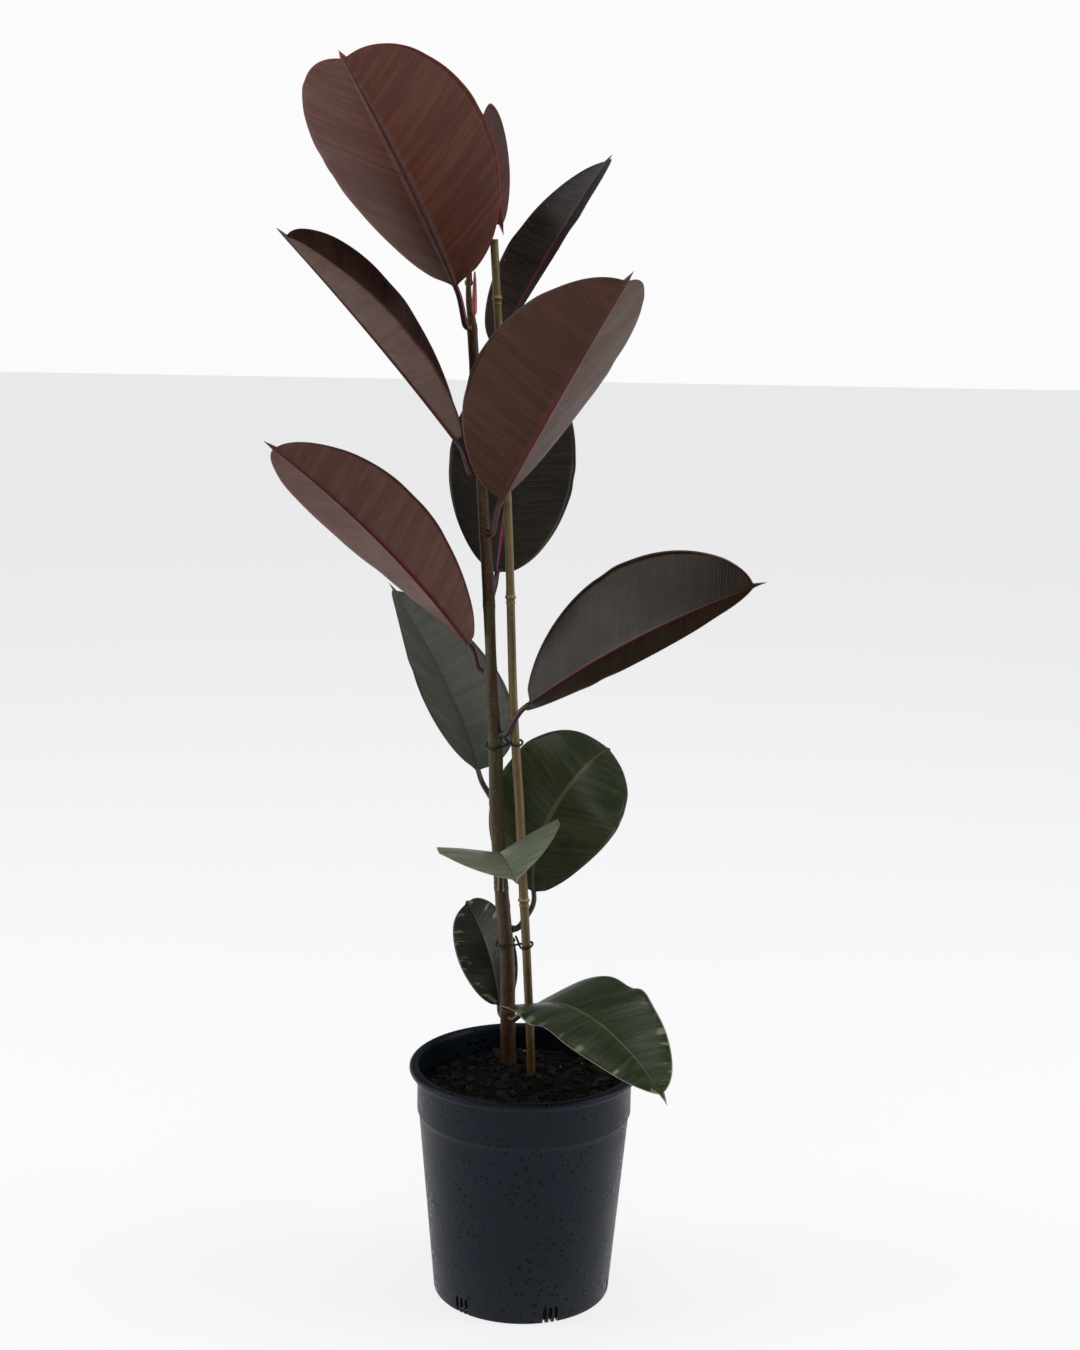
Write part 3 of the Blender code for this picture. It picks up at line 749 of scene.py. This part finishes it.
def leaf_mesh(name, leaf, seed):
    """Stalk and blade as one closed mesh, with where each point is on the leaf as attributes."""
    root = by_height_straight(STEM_LINE, leaf.height)
    aim = direction(np.array(math.radians(leaf.heading)), np.array(0.0))
    start = root[:3] + aim * (root[3] + STALK_CLEAR)
    stalk_shares = np.concatenate([np.linspace(0, 0.3, 12)[:-1], np.linspace(0.3, 1, 16)[:-1]])
    blade_shares = np.concatenate([
        np.linspace(0, 0.05, 18)[:-1], np.linspace(0.05, 0.92, 150)[:-1],
        np.linspace(0.92, 0.9985, 34)])
    stalk_place, stalk_along, stalk_heading = midline(leaf, "stalk", start, stalk_shares)
    blade_start = midline(leaf, "stalk", start, np.array([1.0]))[0][0]
    place, along, heading = midline(leaf, "blade", blade_start, blade_shares)

    width = half_widths(leaf, blade_shares)
    out, lift, below, across, vein, margin = blade_columns(leaf, blade_shares, width, seed * 1.7)
    side, up = side_and_up(along, heading, math.radians(leaf.roll))
    half_thick = LEAF_THICKNESS / 2 * np.minimum(1, width / 0.004)[:, None]
    half_thick = half_thick * (1 - np.abs(across) ** 8)
    centre = place[:, None] + side[:, None] * out[..., None] + up[:, None] * lift[..., None]
    top = centre + up[:, None] * half_thick[..., None]
    bottom = centre - up[:, None] * (half_thick + below)[..., None]
    blade = np.concatenate([top, bottom[:, -2:0:-1]], axis=1)
    per_ring = blade.shape[1]

    turn = math.pi - math.tau * np.arange(per_ring) / per_ring
    all_place = np.vstack([stalk_place, place])
    side0, up0 = side_and_up(np.vstack([stalk_along, along]),
                             np.concatenate([stalk_heading, heading]), 0.0)
    stalk_count = len(stalk_shares)
    radius = STALK_RADIUS * (1 - 0.2 * np.concatenate([stalk_shares, np.ones(len(place))]))
    radius[:stalk_count] += 0.0007 * np.exp(-stalk_shares * leaf.stalk / 0.0018)
    radius = radius[:, None, None]
    channel = 1 - 0.10 * np.exp(-(((turn - math.pi / 2) / 0.5) ** 2))[None, :, None]
    circles = all_place[:, None] + radius * channel * (
        np.cos(turn)[None, :, None] * side0[:, None] + np.sin(turn)[None, :, None] * up0[:, None])
    blend = ease(blade_shares / 0.016)[:, None, None]
    blade = circles[stalk_count:] * (1 - blend) + blade * blend
    rings = np.concatenate([circles[:stalk_count], blade])

    tip = midline(leaf, "blade", blade_start, np.array([1.0]))[0][0]
    made = lofted(name, rings, start, tip, inward=True)

    stalk_rows = np.arange(len(rings) - 1)[:, None] < stalk_count - 1
    under = (np.arange(per_ring)[None] >= per_ring // 2).astype(int)
    kinds = np.where(stalk_rows, 2, under).reshape(-1)
    kinds = np.concatenate([kinds, np.full(per_ring, 2), np.zeros(per_ring, int)])
    made.polygons.foreach_set("material_index", kinds.astype(np.int32))

    def both_sides(values, on_stalk):
        ring = np.concatenate([values, values[:, -2:0:-1]], axis=1)
        full = np.vstack([np.full((stalk_count, per_ring), on_stalk), ring]).reshape(-1)
        return np.append(full, [full[0], full[-1]])

    lengthwise = np.repeat((blade_shares * leaf.length)[:, None], across.shape[1], axis=1)
    for label, values in (("across", both_sides(across, 0.0)), ("vein", both_sides(vein, 0.0)),
                          ("margin", both_sides(margin, 0.02)),
                          ("along", both_sides(lengthwise, 0.0))):
        made.attributes.new(label, "FLOAT", "POINT").data.foreach_set(
            "value", values.astype(np.float32))
    return made


def by_height_straight(line, height):
    """The (x, y, z, radius) of a line at a height, straight between its points."""
    return np.array([np.interp(height, line[:, 2], line[:, i]) for i in range(4)])


def side_and_up(along, heading, roll):
    """The blade's sideways and upward directions, turned about the midrib by roll."""
    level = np.stack([-np.sin(heading), np.cos(heading), 0 * heading], axis=1)
    lifted = np.cross(along, level)
    side = math.cos(roll) * level + math.sin(roll) * lifted
    return side, math.cos(roll) * lifted - math.sin(roll) * level


def leaf_skin(name, base, patch, vein, rib, rim, rough, relief, seed, cream=0.0):
    """Waxy leaf skin: streaky colour along the side veins, lighter veins, a coloured midrib,
    a thin coloured rim and, on some leaves, cream patches by the margin."""
    made, tree, shader = new_material(name)

    def attribute(label):
        return add(tree, "ShaderNodeAttribute", attribute_name=label).outputs["Fac"]

    def soft(value, low, high, most=1.0):
        return ramp(tree, value, low, high, most, kind="SMOOTHSTEP")

    def times(a, b):
        return maths(tree, "MULTIPLY", a, b)

    def blend(share, low, high):
        return mix(tree, share, low, high)

    where = object_place(tree)
    across, phase, margin, along = (attribute(a) for a in ("across", "vein", "margin", "along"))
    size = maths(tree, "ABSOLUTE", across)
    flow = add(tree, "ShaderNodeCombineXYZ", {0: phase, 1: across}, {2: float(seed)}).outputs[0]
    streak = noise(tree, flow, 0.9, 5.0, Roughness=0.6)
    cloud = noise(tree, where, 34.0, 5.0, Roughness=0.55)
    pores = noise(tree, where, 1700.0, 3.0)
    near = maths(tree, "PINGPONG", phase, 0.5)
    twice = maths(tree, "PINGPONG", phase, 0.25)
    main_vein = soft(near, 0.1, 0.0)
    fine_vein = soft(twice, 0.06, 0.0, 0.45)
    veins = maths(tree, "MAXIMUM", main_vein, fine_vein)
    inside = times(soft(margin, 0.0016, 0.005), soft(size, 0.02, 0.1))
    veins = times(veins, inside)
    colour = blend(soft(streak, 0.38, 0.68), base, patch)
    colour = blend(soft(cloud, 0.55, 0.75, 0.5), colour, patch)
    colour = blend(times(veins, soft(cloud, 0.25, 0.6, 0.42)), colour, vein)
    if cream:
        wander = maths(tree, "DIVIDE", margin, streak)
        spots = times(soft(wander, 0.018, 0.011), soft(streak, 0.56, 0.62, cream))
        colour = blend(spots, colour, "#8f9070")
    colour = blend(soft(margin, 0.0016, 0.0007, 0.9), colour, rim)
    rib_reach = ramp(tree, along, 0.0, 0.24, most=0.016, least=0.042)
    on_rib = maths(tree, "DIVIDE", size, rib_reach)
    colour = blend(soft(on_rib, 1.25, 0.75), colour, rib)
    feed(tree, shader, {"Base Color": colour})
    worn = ramp(tree, cloud, 0.3, 0.7, most=rough + 0.07, least=rough - 0.05)
    feed(tree, shader, {"Roughness": worn, "IOR": 1.45, "Specular IOR Level": 0.22})
    height = times(veins, relief)
    grain = maths(tree, "MULTIPLY_ADD", pores, 0.1, height)
    bumpy(tree, shader, grain, 0.5, 0.0004)
    return made


def stalk_skin(name, low, high):
    """Smooth waxy stalk, mottled between two colours, with a fine grain in its relief."""
    made, tree, shader = new_material(name)
    where = object_place(tree)
    mottle = noise(tree, where, 160.0, 4.0)
    fine = noise(tree, where, 1500.0, 2.0)
    mixed = mix(tree, mottle, low, high)
    feed(tree, shader, {"Base Color": mixed, "Roughness": 0.36})
    bumpy(tree, shader, fine, 0.25, 0.0002)
    return made


# Each leaf's kind, which begins its material names, and colours: base, streak and vein above; base,
# streak and vein beneath; midrib above, midrib beneath, rim; then how much cream there is by the
# margin and the two stalk colours.
Look = namedtuple("Look", "slot top top_streak top_vein under under_streak under_vein rib_top"
                          " rib_under rim cream stalk_low stalk_high")
RED_TOP = ("#2c1a17", "#3a221d", "#4a2e28")
GREEN_TOP = ("#262d1a", "#343b24", "#4c533a")
DARK_UNDER = ("#352420", "#452f29", "#523a33")
GREEN_UNDER = ("#4a3630", "#55443a", "#655548")
LOOKS = (
    Look("burgundy_leaf", *RED_TOP, "#471e12", "#57301f", "#613a2a", "#7a3040", "#32080a",
         "#8e3034", 0.0, "#5a1418", "#34100f"),
    Look("dark_leaf", *RED_TOP, "#3c1815", "#50231f", "#5a2b28", "#7a3040", "#4a1418",
         "#9a4a4c", 0.0, "#5a1418", "#34100f"),
    Look("dark_leaf", "#211c18", "#302925", "#413833", *DARK_UNDER, "#5a2a34", "#3a1216",
         "#5c4a44", 0.0, "#4a1a18", "#2c1210"),
    Look("burgundy_leaf", *RED_TOP, "#412316", "#4d2f21", "#573829", "#7a3040", "#3c1216",
         "#5c3c38", 0.0, "#42161a", "#2a100e"),
    Look("burgundy_leaf", *RED_TOP, "#3b2114", "#492c1e", "#573728", "#7a3040", "#4d0a1c",
         "#6a4a46", 0.0, "#4a121c", "#2c0e10"),
    Look("dark_leaf", "#201c15", "#2a251c", "#3b3a2e", *DARK_UNDER, "#7a2a4c", "#3a1216",
         "#3f3a30", 0.0, "#42161a", "#2a100e"),
    Look("burgundy_leaf", *RED_TOP, "#49291f", "#57362c", "#634338", "#7a3040", "#5c0f20",
         "#6a4440", 0.0, "#4a121c", "#2c0e10"),
    Look("green_leaf", "#3f4238", "#4d5046", "#5c6055", *GREEN_UNDER, "#4a3430", "#3a2020",
         "#5c6050", 0.0, "#2c1612", "#1e100c"),
    Look("dark_leaf", "#21160b", "#2b2012", "#33281a", "#2f2b1c", "#3c3828", "#4a4635", "#5a2830",
         "#4a1c1c", "#85605a", 0.0, "#3a1612", "#22100c"),
    Look("green_leaf", *GREEN_TOP, *GREEN_UNDER, "#4a4c33", "#4a3c2c", "#56583f", 0.0,
         "#3a2a1c", "#281c12"),
    # Leaf 11's top colours are paler than its own green: a painted reflection, the sheen of the
    # lamps on its waxy top lightened into them.
    Look("green_leaf", "#677058", "#788068", "#8e957d", "#4c332e", "#5a413a", "#67504a",
         "#5e6448", "#4f5038", "#a3a078", 0.8, "#3a2c1e", "#281c12"),
    Look("green_leaf", "#1e241d", "#2a3026", "#3a4032", *GREEN_UNDER, "#4a4c34", "#3c3426",
         "#6c6e52", 0.6, "#3a2c1e", "#281c12"),
    Look("green_leaf", "#28331c", "#414b33", "#626a4c", *GREEN_UNDER, "#5a603e", "#4a4430",
         "#a3a080", 0.7, "#4a3a28", "#33261a"),
)
GLOSS_ABOVE = 0.30
GLOSS_BENEATH = 0.48

leaf_pieces = {}
for number, (leaf, look) in enumerate(zip(LEAVES, LOOKS), 1):
    kind = look.slot.replace("_leaf", "")
    skins = [
        leaf_skin(f"{kind}_leaf_{number:02d}_waxy_glossy_top", look.top, look.top_streak,
                  look.top_vein, look.rib_top, look.rim, GLOSS_ABOVE, -0.22, number, look.cream),
        leaf_skin(f"{kind}_leaf_{number:02d}_satin_underside", look.under, look.under_streak,
                  look.under_vein, look.rib_under, look.rim, GLOSS_BENEATH, 0.18, number + 20),
        stalk_skin(f"{kind}_leaf_{number:02d}_stalk_smooth", look.stalk_low, look.stalk_high),
    ]
    name = f"leaf_{number:02d}_skin"
    leaf_pieces[number] = show(name, leaf_mesh(name, leaf, number), skins)
    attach(leaf_pieces[number], "root")
    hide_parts(f"leaf_{number:02d}")


# ================================================================ ties
# Two short lengths of garden wire with a dark green plastic coat, each wound in a figure of
# eight round the stem and the cane, its cut ends lying against the loops.

TIE_WIRE_RADIUS = 0.0010
TIE_CLEAR = 0.0007
TIE_RISE = 0.0066
TIE_TILT = 0.50
TIE_HEIGHTS = {"tie_lower": 0.304, "tie_upper": 0.483}
WIRE_SIDES = 12


def tie_route(height):
    """The centre line of the wire of one tie."""
    at_stem = by_height_straight(STEM_LINE, height)
    at_cane = by_height_straight(CANE_LINE, height)
    towards = at_cane[:3] - at_stem[:3]
    towards = towards / np.linalg.norm(towards)
    aside = np.cross((0, 0, 1), towards)
    turns = np.radians(50 + 260 * np.arange(13) / 12)[:, None]
    loops = []
    for centre, sign in ((at_stem, 1), (at_cane, -1)):
        reach = centre[3] + TIE_WIRE_RADIUS + TIE_CLEAR
        loops.append(centre[:3] + reach * (sign * np.cos(turns) * towards + np.sin(turns) * aside))
    route = np.vstack(loops)
    route = np.vstack([route, route[-1] + 0.75 * (route[0] - route[-1])])
    share = np.arange(len(route)) / (len(route) - 1)
    lean = TIE_TILT * ((route - at_stem[:3]) @ aside)
    route[:, 2] = height + TIE_RISE * (share - 0.5) + lean
    return route


def wire_mesh(name, route, radius):
    """A round wire with rounded ends along a smooth route."""
    fine = smooth_line(route, 240)
    ahead = np.gradient(fine, axis=0)
    ahead /= np.linalg.norm(ahead, axis=1)[:, None]
    side = np.cross(ahead, (0, 0, 1))
    side /= np.linalg.norm(side, axis=1)[:, None]
    up = np.cross(side, ahead)
    turn = np.linspace(0, math.tau, WIRE_SIDES, endpoint=False)
    rings = [fine[i] + radius * (np.cos(turn)[:, None] * side[i] + np.sin(turn)[:, None] * up[i])
             for i in range(len(fine))]
    for end, sign in ((0, -1), (-1, 1)):
        for out, share in ((0.55, 0.84), (0.9, 0.45)):
            cap = fine[end] + ahead[end] * sign * radius * out
            ring = cap + radius * share * (
                np.cos(turn)[:, None] * side[end] + np.sin(turn)[:, None] * up[end])
            if sign < 0:
                rings.insert(0, ring)
            else:
                rings.append(ring)
    return lofted(name, np.array(rings), fine[0] - ahead[0] * radius,
                  fine[-1] + ahead[-1] * radius, inward=True)


def coated_wire():
    """Dark green soft plastic coat with a dull shine and dusty scuffs."""
    made, tree, shader = new_material("dark_green_plastic_coated_wire")
    where = object_place(tree)
    scuff = noise(tree, where, 420.0, 4.0)
    worn = ramp(tree, scuff, 0.5, 0.75, most=0.5)
    mixed = mix(tree, worn, "#10170f", "#2e382a")
    feed(tree, shader, {"Base Color": mixed, "Roughness": 0.35})
    bumpy(tree, shader, scuff, 0.3, 0.0002)
    return made


WIRE_COAT = coated_wire()
for node, tie_height in TIE_HEIGHTS.items():
    wire = show(node + "_wire", wire_mesh(node + "_wire", tie_route(tie_height), TIE_WIRE_RADIUS),
                [WIRE_COAT])
    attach(wire, "root")
    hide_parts(node)


# ================================================================ potting mix
# Near-black moist potting mix: peat and fine bark, domed up round the stem, with coarser bark
# chips and a few grains of perlite lying in its surface. It was poured in and watered.

SOIL_TOP = 0.1865
SOIL_MOUND = 0.0045
SOIL_SIDE_CLEAR = 0.0005
SOIL_RINGS = 90
SOIL_SIDES = 200


def lumps(x, y):
    """Smooth unevenness of a few millimetres, from a sum of crossing waves."""
    total = 0 * x
    maker = np.random.default_rng(41)
    for size in (0.021, 0.013, 0.009, 0.006, 0.0042, 0.0030, 0.0022):
        for _ in range(3):
            heading, shift = maker.uniform(0, math.tau, 2)
            along = (x * math.cos(heading) + y * math.sin(heading)) / size * math.tau
            total = total + size * 0.026 * np.sin(along + shift)
    return total


def soil_height(radius, turn):
    """How high the mix lies at a place on the dish."""
    x, y = radius * np.cos(turn), radius * np.sin(turn)
    mound = SOIL_MOUND * np.cos(np.minimum(radius / 0.086, 1) * math.pi / 2) ** 1.3
    edge = -0.0016 * ease((radius - 0.082) / 0.008)
    return SOIL_TOP + mound + edge + lumps(x, y)


def soil_mesh():
    """The surface of the mix with its sides down to the pot's floor."""
    base = BASE_RADIUS - WALL - SOIL_SIDE_CLEAR
    step = COLLAR_RADIUS - STEP_DEPTH - WALL - SOIL_SIDE_CLEAR
    rim = COLLAR_RADIUS - WALL - SOIL_SIDE_CLEAR
    turn = np.linspace(0, math.tau, SOIL_SIDES, endpoint=False)
    sides = [(base - 0.003, FLOOR + 0.0003), (base, BASE_ROUNDING + 0.002),
             (step, STEP_HEIGHT - 0.002), (rim, STEP_HEIGHT + 0.003), (rim, SOIL_TOP - 0.0045)]
    places = [(radius, z + 0 * turn) for radius, z in sides]
    places += [(radius, soil_height(radius, turn))
               for radius in np.linspace(rim - 0.0004, 0.0008, SOIL_RINGS)]
    rings = np.array([np.stack([radius * np.cos(turn), radius * np.sin(turn), z], axis=1)
                      for radius, z in places])
    peak = float(soil_height(np.array(0.0), np.array(0.0)))
    return lofted("potting_mix", rings, (0, 0, FLOOR + 0.0003), (0, 0, peak))


def moist_mix():
    """Peat and fine bark: black-brown crumbs, a few rusty fibres, and the dull wet shine of watered
    mix; painted shade darkens the hollows between the clods."""
    made, tree, shader = new_material("moist_peat_potting_mix")
    where = object_place(tree)
    crumbs = cells(tree, where, 520.0)
    clods = noise(tree, where, 140.0, 6.0, Roughness=0.7)
    grit = cells(tree, where, 240.0)
    few = maths(tree, "GREATER_THAN", grit.outputs["Color"], 0.88)
    # Painted shade: the clods pattern that sinks the relief also darkens the colour, so the hollows
    # between clods are darker.
    colour = mix(tree, clods, "#020201", "#0b0806")
    rust = maths(tree, "MULTIPLY", few, 0.5)
    flecked = mix(tree, rust, colour, "#1a110b")
    feed(tree, shader, {"Base Color": flecked})
    wet = ramp(tree, clods, 0.35, 0.65, most=0.95, least=0.55)
    feed(tree, shader, {"Roughness": wet, "Specular IOR Level": 0.15})
    height = maths(tree, "ADD", crumbs.outputs["Distance"], clods)
    bumpy(tree, shader, height, 0.9, 0.0012)
    return made


def bark_chip():
    """Torn composted pine bark: grey-brown and layered, with painted shade darkening its splits."""
    made, tree, shader = new_material("composted_pine_bark_chip")
    where = object_place(tree)
    layers = noise(tree, where, 260.0, 6.0, Roughness=0.7, Distortion=1.2)
    tint = noise(tree, where, 45.0, 2.0)
    # Painted shade: the layers pattern that sinks the splits in the relief also darkens them.
    dark = mix(tree, layers, "#050403", "#1f1813")
    share = ramp(tree, tint, 0.55, 0.7, most=0.5)
    mixed = mix(tree, share, dark, "#332b24")
    feed(tree, shader, {"Base Color": mixed, "Roughness": 0.72, "Specular IOR Level": 0.2})
    bumpy(tree, shader, layers, 0.8, 0.0006)
    return made


def perlite():
    """Expanded volcanic glass: chalky off-white and pitted."""
    made, tree, shader = new_material("off_white_perlite_grain")
    where = object_place(tree)
    pits = noise(tree, where, 900.0, 4.0)
    mixed = mix(tree, pits, "#55524b", "#8a877f")
    feed(tree, shader, {"Base Color": mixed, "Roughness": 0.9})
    bumpy(tree, shader, pits, 0.6, 0.0003)
    return made


BARK_CHIP = bark_chip()
PERLITE = perlite()


def chunk_mesh(name, seed, size, material):
    """A rough closed lump: a cube cut finer, pushed about and flattened to a size."""
    maker = np.random.default_rng(seed)
    body = bmesh.new()
    bmesh.ops.create_cube(body, size=2)
    bmesh.ops.subdivide_edges(body, edges=body.edges[:], cuts=3, use_grid_fill=True)
    for corner in body.verts:
        rounded = corner.co.normalized() * 1.2
        corner.co = corner.co * 0.55 + rounded * 0.45
        corner.co += Vector(maker.normal(0, 0.09, 3))
        corner.co *= Vector(size)
    made = bpy.data.meshes.new(name)
    body.to_mesh(made)
    body.free()
    made.materials.append(material)
    made.shade_smooth()
    made.set_sharp_from_angle(angle=math.radians(42))
    return made


def scatter_tree(name):
    """Spreads one lump over the upward faces of a surface, turned and sized at random."""
    tree = bpy.data.node_groups.new(name, "GeometryNodeTree")
    face = tree.interface
    face.new_socket("Geometry", in_out="INPUT", socket_type="NodeSocketGeometry")
    face.new_socket("Lump", in_out="INPUT", socket_type="NodeSocketObject")
    for label in ("Density", "Spacing", "Smallest", "Largest", "Lift"):
        face.new_socket(label, in_out="INPUT", socket_type="NodeSocketFloat")
    face.new_socket("Seed", in_out="INPUT", socket_type="NodeSocketInt")
    face.new_socket("Material", in_out="INPUT", socket_type="NodeSocketMaterial")
    face.new_socket("Geometry", in_out="OUTPUT", socket_type="NodeSocketGeometry")
    given = add(tree, "NodeGroupInput").outputs
    normal = add(tree, "GeometryNodeInputNormal").outputs[0]
    upward = add(tree, "ShaderNodeSeparateXYZ", {0: normal}).outputs["Z"]
    flat = add(tree, "FunctionNodeCompare", {0: upward}, {1: 0.55}, operation="GREATER_THAN")
    spread = add(tree, "GeometryNodeDistributePointsOnFaces",
                 {"Mesh": given["Geometry"], "Selection": flat.outputs[0],
                  "Distance Min": given["Spacing"], "Density Max": given["Density"],
                  "Seed": given["Seed"]}, distribute_method="POISSON")
    turn = add(tree, "FunctionNodeRandomValue", {"Seed": given["Seed"]}, data_type="FLOAT_VECTOR")
    turn.inputs[0].default_value = (-0.45, -0.45, 0.0)
    turn.inputs[1].default_value = (0.45, 0.45, math.tau)
    size = add(tree, "FunctionNodeRandomValue",
               {2: given["Smallest"], 3: given["Largest"], "Seed": given["Seed"]},
               data_type="FLOAT")
    lump = add(tree, "GeometryNodeObjectInfo", {"Object": given["Lump"]})
    placed = add(tree, "GeometryNodeInstanceOnPoints",
                 {"Points": spread.outputs["Points"], "Instance": lump.outputs["Geometry"],
                  "Rotation": turn.outputs[0], "Scale": size.outputs[1]})
    rise = add(tree, "ShaderNodeCombineXYZ", {2: given["Lift"]})
    lifted = add(tree, "GeometryNodeTranslateInstances",
               {"Instances": placed.outputs[0], "Translation": rise.outputs[0]})
    lifted.inputs["Local Space"].default_value = False
    real = add(tree, "GeometryNodeRealizeInstances", {"Geometry": lifted.outputs[0]})
    finished = add(tree, "GeometryNodeSetMaterial",
                   {"Geometry": real.outputs[0], "Material": given["Material"]})
    add(tree, "NodeGroupOutput", {"Geometry": finished.outputs[0]})
    return tree


SCATTER = scatter_tree("scatter_lumps")


def scattered(name, surface, lump_mesh, material, **numbers):
    """A plain mesh object of lumps spread over a surface by the scatter tree."""
    lump = show(name + "_lump", lump_mesh, [])
    made = show(name, surface, [])
    step = made.modifiers.new("scatter", "NODES")
    step.node_group = SCATTER
    values = {"Lump": lump, "Material": material, **numbers}
    for item in SCATTER.interface.items_tree:
        if item.in_out == "INPUT" and item.name in values:
            step[item.identifier] = values[item.name]
    keep_result(made)
    bpy.data.objects.remove(lump)
    return made


soil = show("potting_mix", soil_mesh(), [moist_mix()])
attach(soil, "root")
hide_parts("soil")


DISH_SIDES = 72
DISH_REACH = 0.0815                  # stops this far from the pot's middle
CLEAR_ROUND_STEMS = 0.013


def dish():
    """A bare copy of the mix's surface that stops short of the pot's wall, to spread over."""
    turn = np.linspace(0, math.tau, DISH_SIDES, endpoint=False)
    radii = np.linspace(DISH_REACH, 0.002, 26)
    points, faces = [], []
    for radius in radii:
        heights = soil_height(radius, turn)
        points += list(zip(radius * np.cos(turn), radius * np.sin(turn), heights))
    for i in range(len(radii) - 1):
        for j in range(DISH_SIDES):
            k = (j + 1) % DISH_SIDES
            low, high = i * DISH_SIDES, (i + 1) * DISH_SIDES
            middle = np.mean([points[p] for p in (low + j, low + k, high + k, high + j)], axis=0)
            away = [math.hypot(middle[0] - line[0], middle[1] - line[1])
                    for line in (STEM_LINE[1], CANE_LINE[1])]
            clear = min(away) > CLEAR_ROUND_STEMS
            if clear:
                faces.append((low + j, low + k, high + k, high + j))
    made = bpy.data.meshes.new("dish")
    made.from_pydata(points, [], faces)
    return made


# Name, material, seed, half sizes of a lump, lumps per square metre, least spacing, smallest
# and largest scale, and how far each lump is lifted.
BEDDING = (
    ("bark_chips_large", BARK_CHIP, 5, (0.0060, 0.0032, 0.0016), 2600.0, 0.012, 0.7, 1.35, 0.0003),
    ("bark_chips_small", BARK_CHIP, 8, (0.0026, 0.0016, 0.0010), 16000.0, 0.0045, 0.6, 1.5, 0.0002),
    ("bark_splinters", BARK_CHIP, 12, (0.0070, 0.0010, 0.0007), 1700.0, 0.013, 0.6, 1.2, 0.0008),
    ("perlite_grains", PERLITE, 19, (0.0011, 0.0010, 0.0008), 900.0, 0.016, 0.7, 1.3, 0.0002),
)
for name, material, seed, size, density, spacing, smallest, largest, lift in BEDDING:
    grains = scattered(name, dish(), chunk_mesh(name, seed, size, material), material,
                       Density=density, Spacing=spacing, Smallest=smallest, Largest=largest,
                       Lift=lift, Seed=seed)
    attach(grains, "root")
    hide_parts("soil")


# ================================================================ water drops
# Drops left by watering stand on the upper side of two leaves: clear, round and half sunk into
# the leaf's surface, up to about two millimetres across.

WET_LEAVES = {3: 2600.0, 13: 2400.0}
DROP_RADIUS = 0.0008


def water():
    """Clear water, with the least unevenness that a resting drop has."""
    made, tree, shader = new_material("clear_water_drop")
    where = object_place(tree)
    ripple = noise(tree, where, 300.0)
    feed(tree, shader, {"Base Color": (1.0, 1.0, 1.0, 1.0), "Transmission Weight": 1.0,
                        "IOR": 1.33, "Roughness": 0.03})
    bumpy(tree, shader, ripple, 0.1, 0.0001)
    return made


def drop_mesh():
    """One round drop, a little flattened."""
    body = bmesh.new()
    bmesh.ops.create_icosphere(body, subdivisions=3, radius=DROP_RADIUS)
    bmesh.ops.scale(body, vec=(1.0, 1.0, 0.8), verts=body.verts)
    made = bpy.data.meshes.new("drop")
    body.to_mesh(made)
    body.free()
    made.shade_smooth()
    return made


WATER = water()
for number, density in WET_LEAVES.items():
    name = f"leaf_{number:02d}_drops"
    drops = scattered(name, leaf_pieces[number].data.copy(), drop_mesh(), WATER, Density=density,
                      Spacing=0.006, Smallest=0.5, Largest=1.3, Lift=0.0, Seed=number)
    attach(drops, "root")
    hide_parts(f"leaf_{number:02d}")
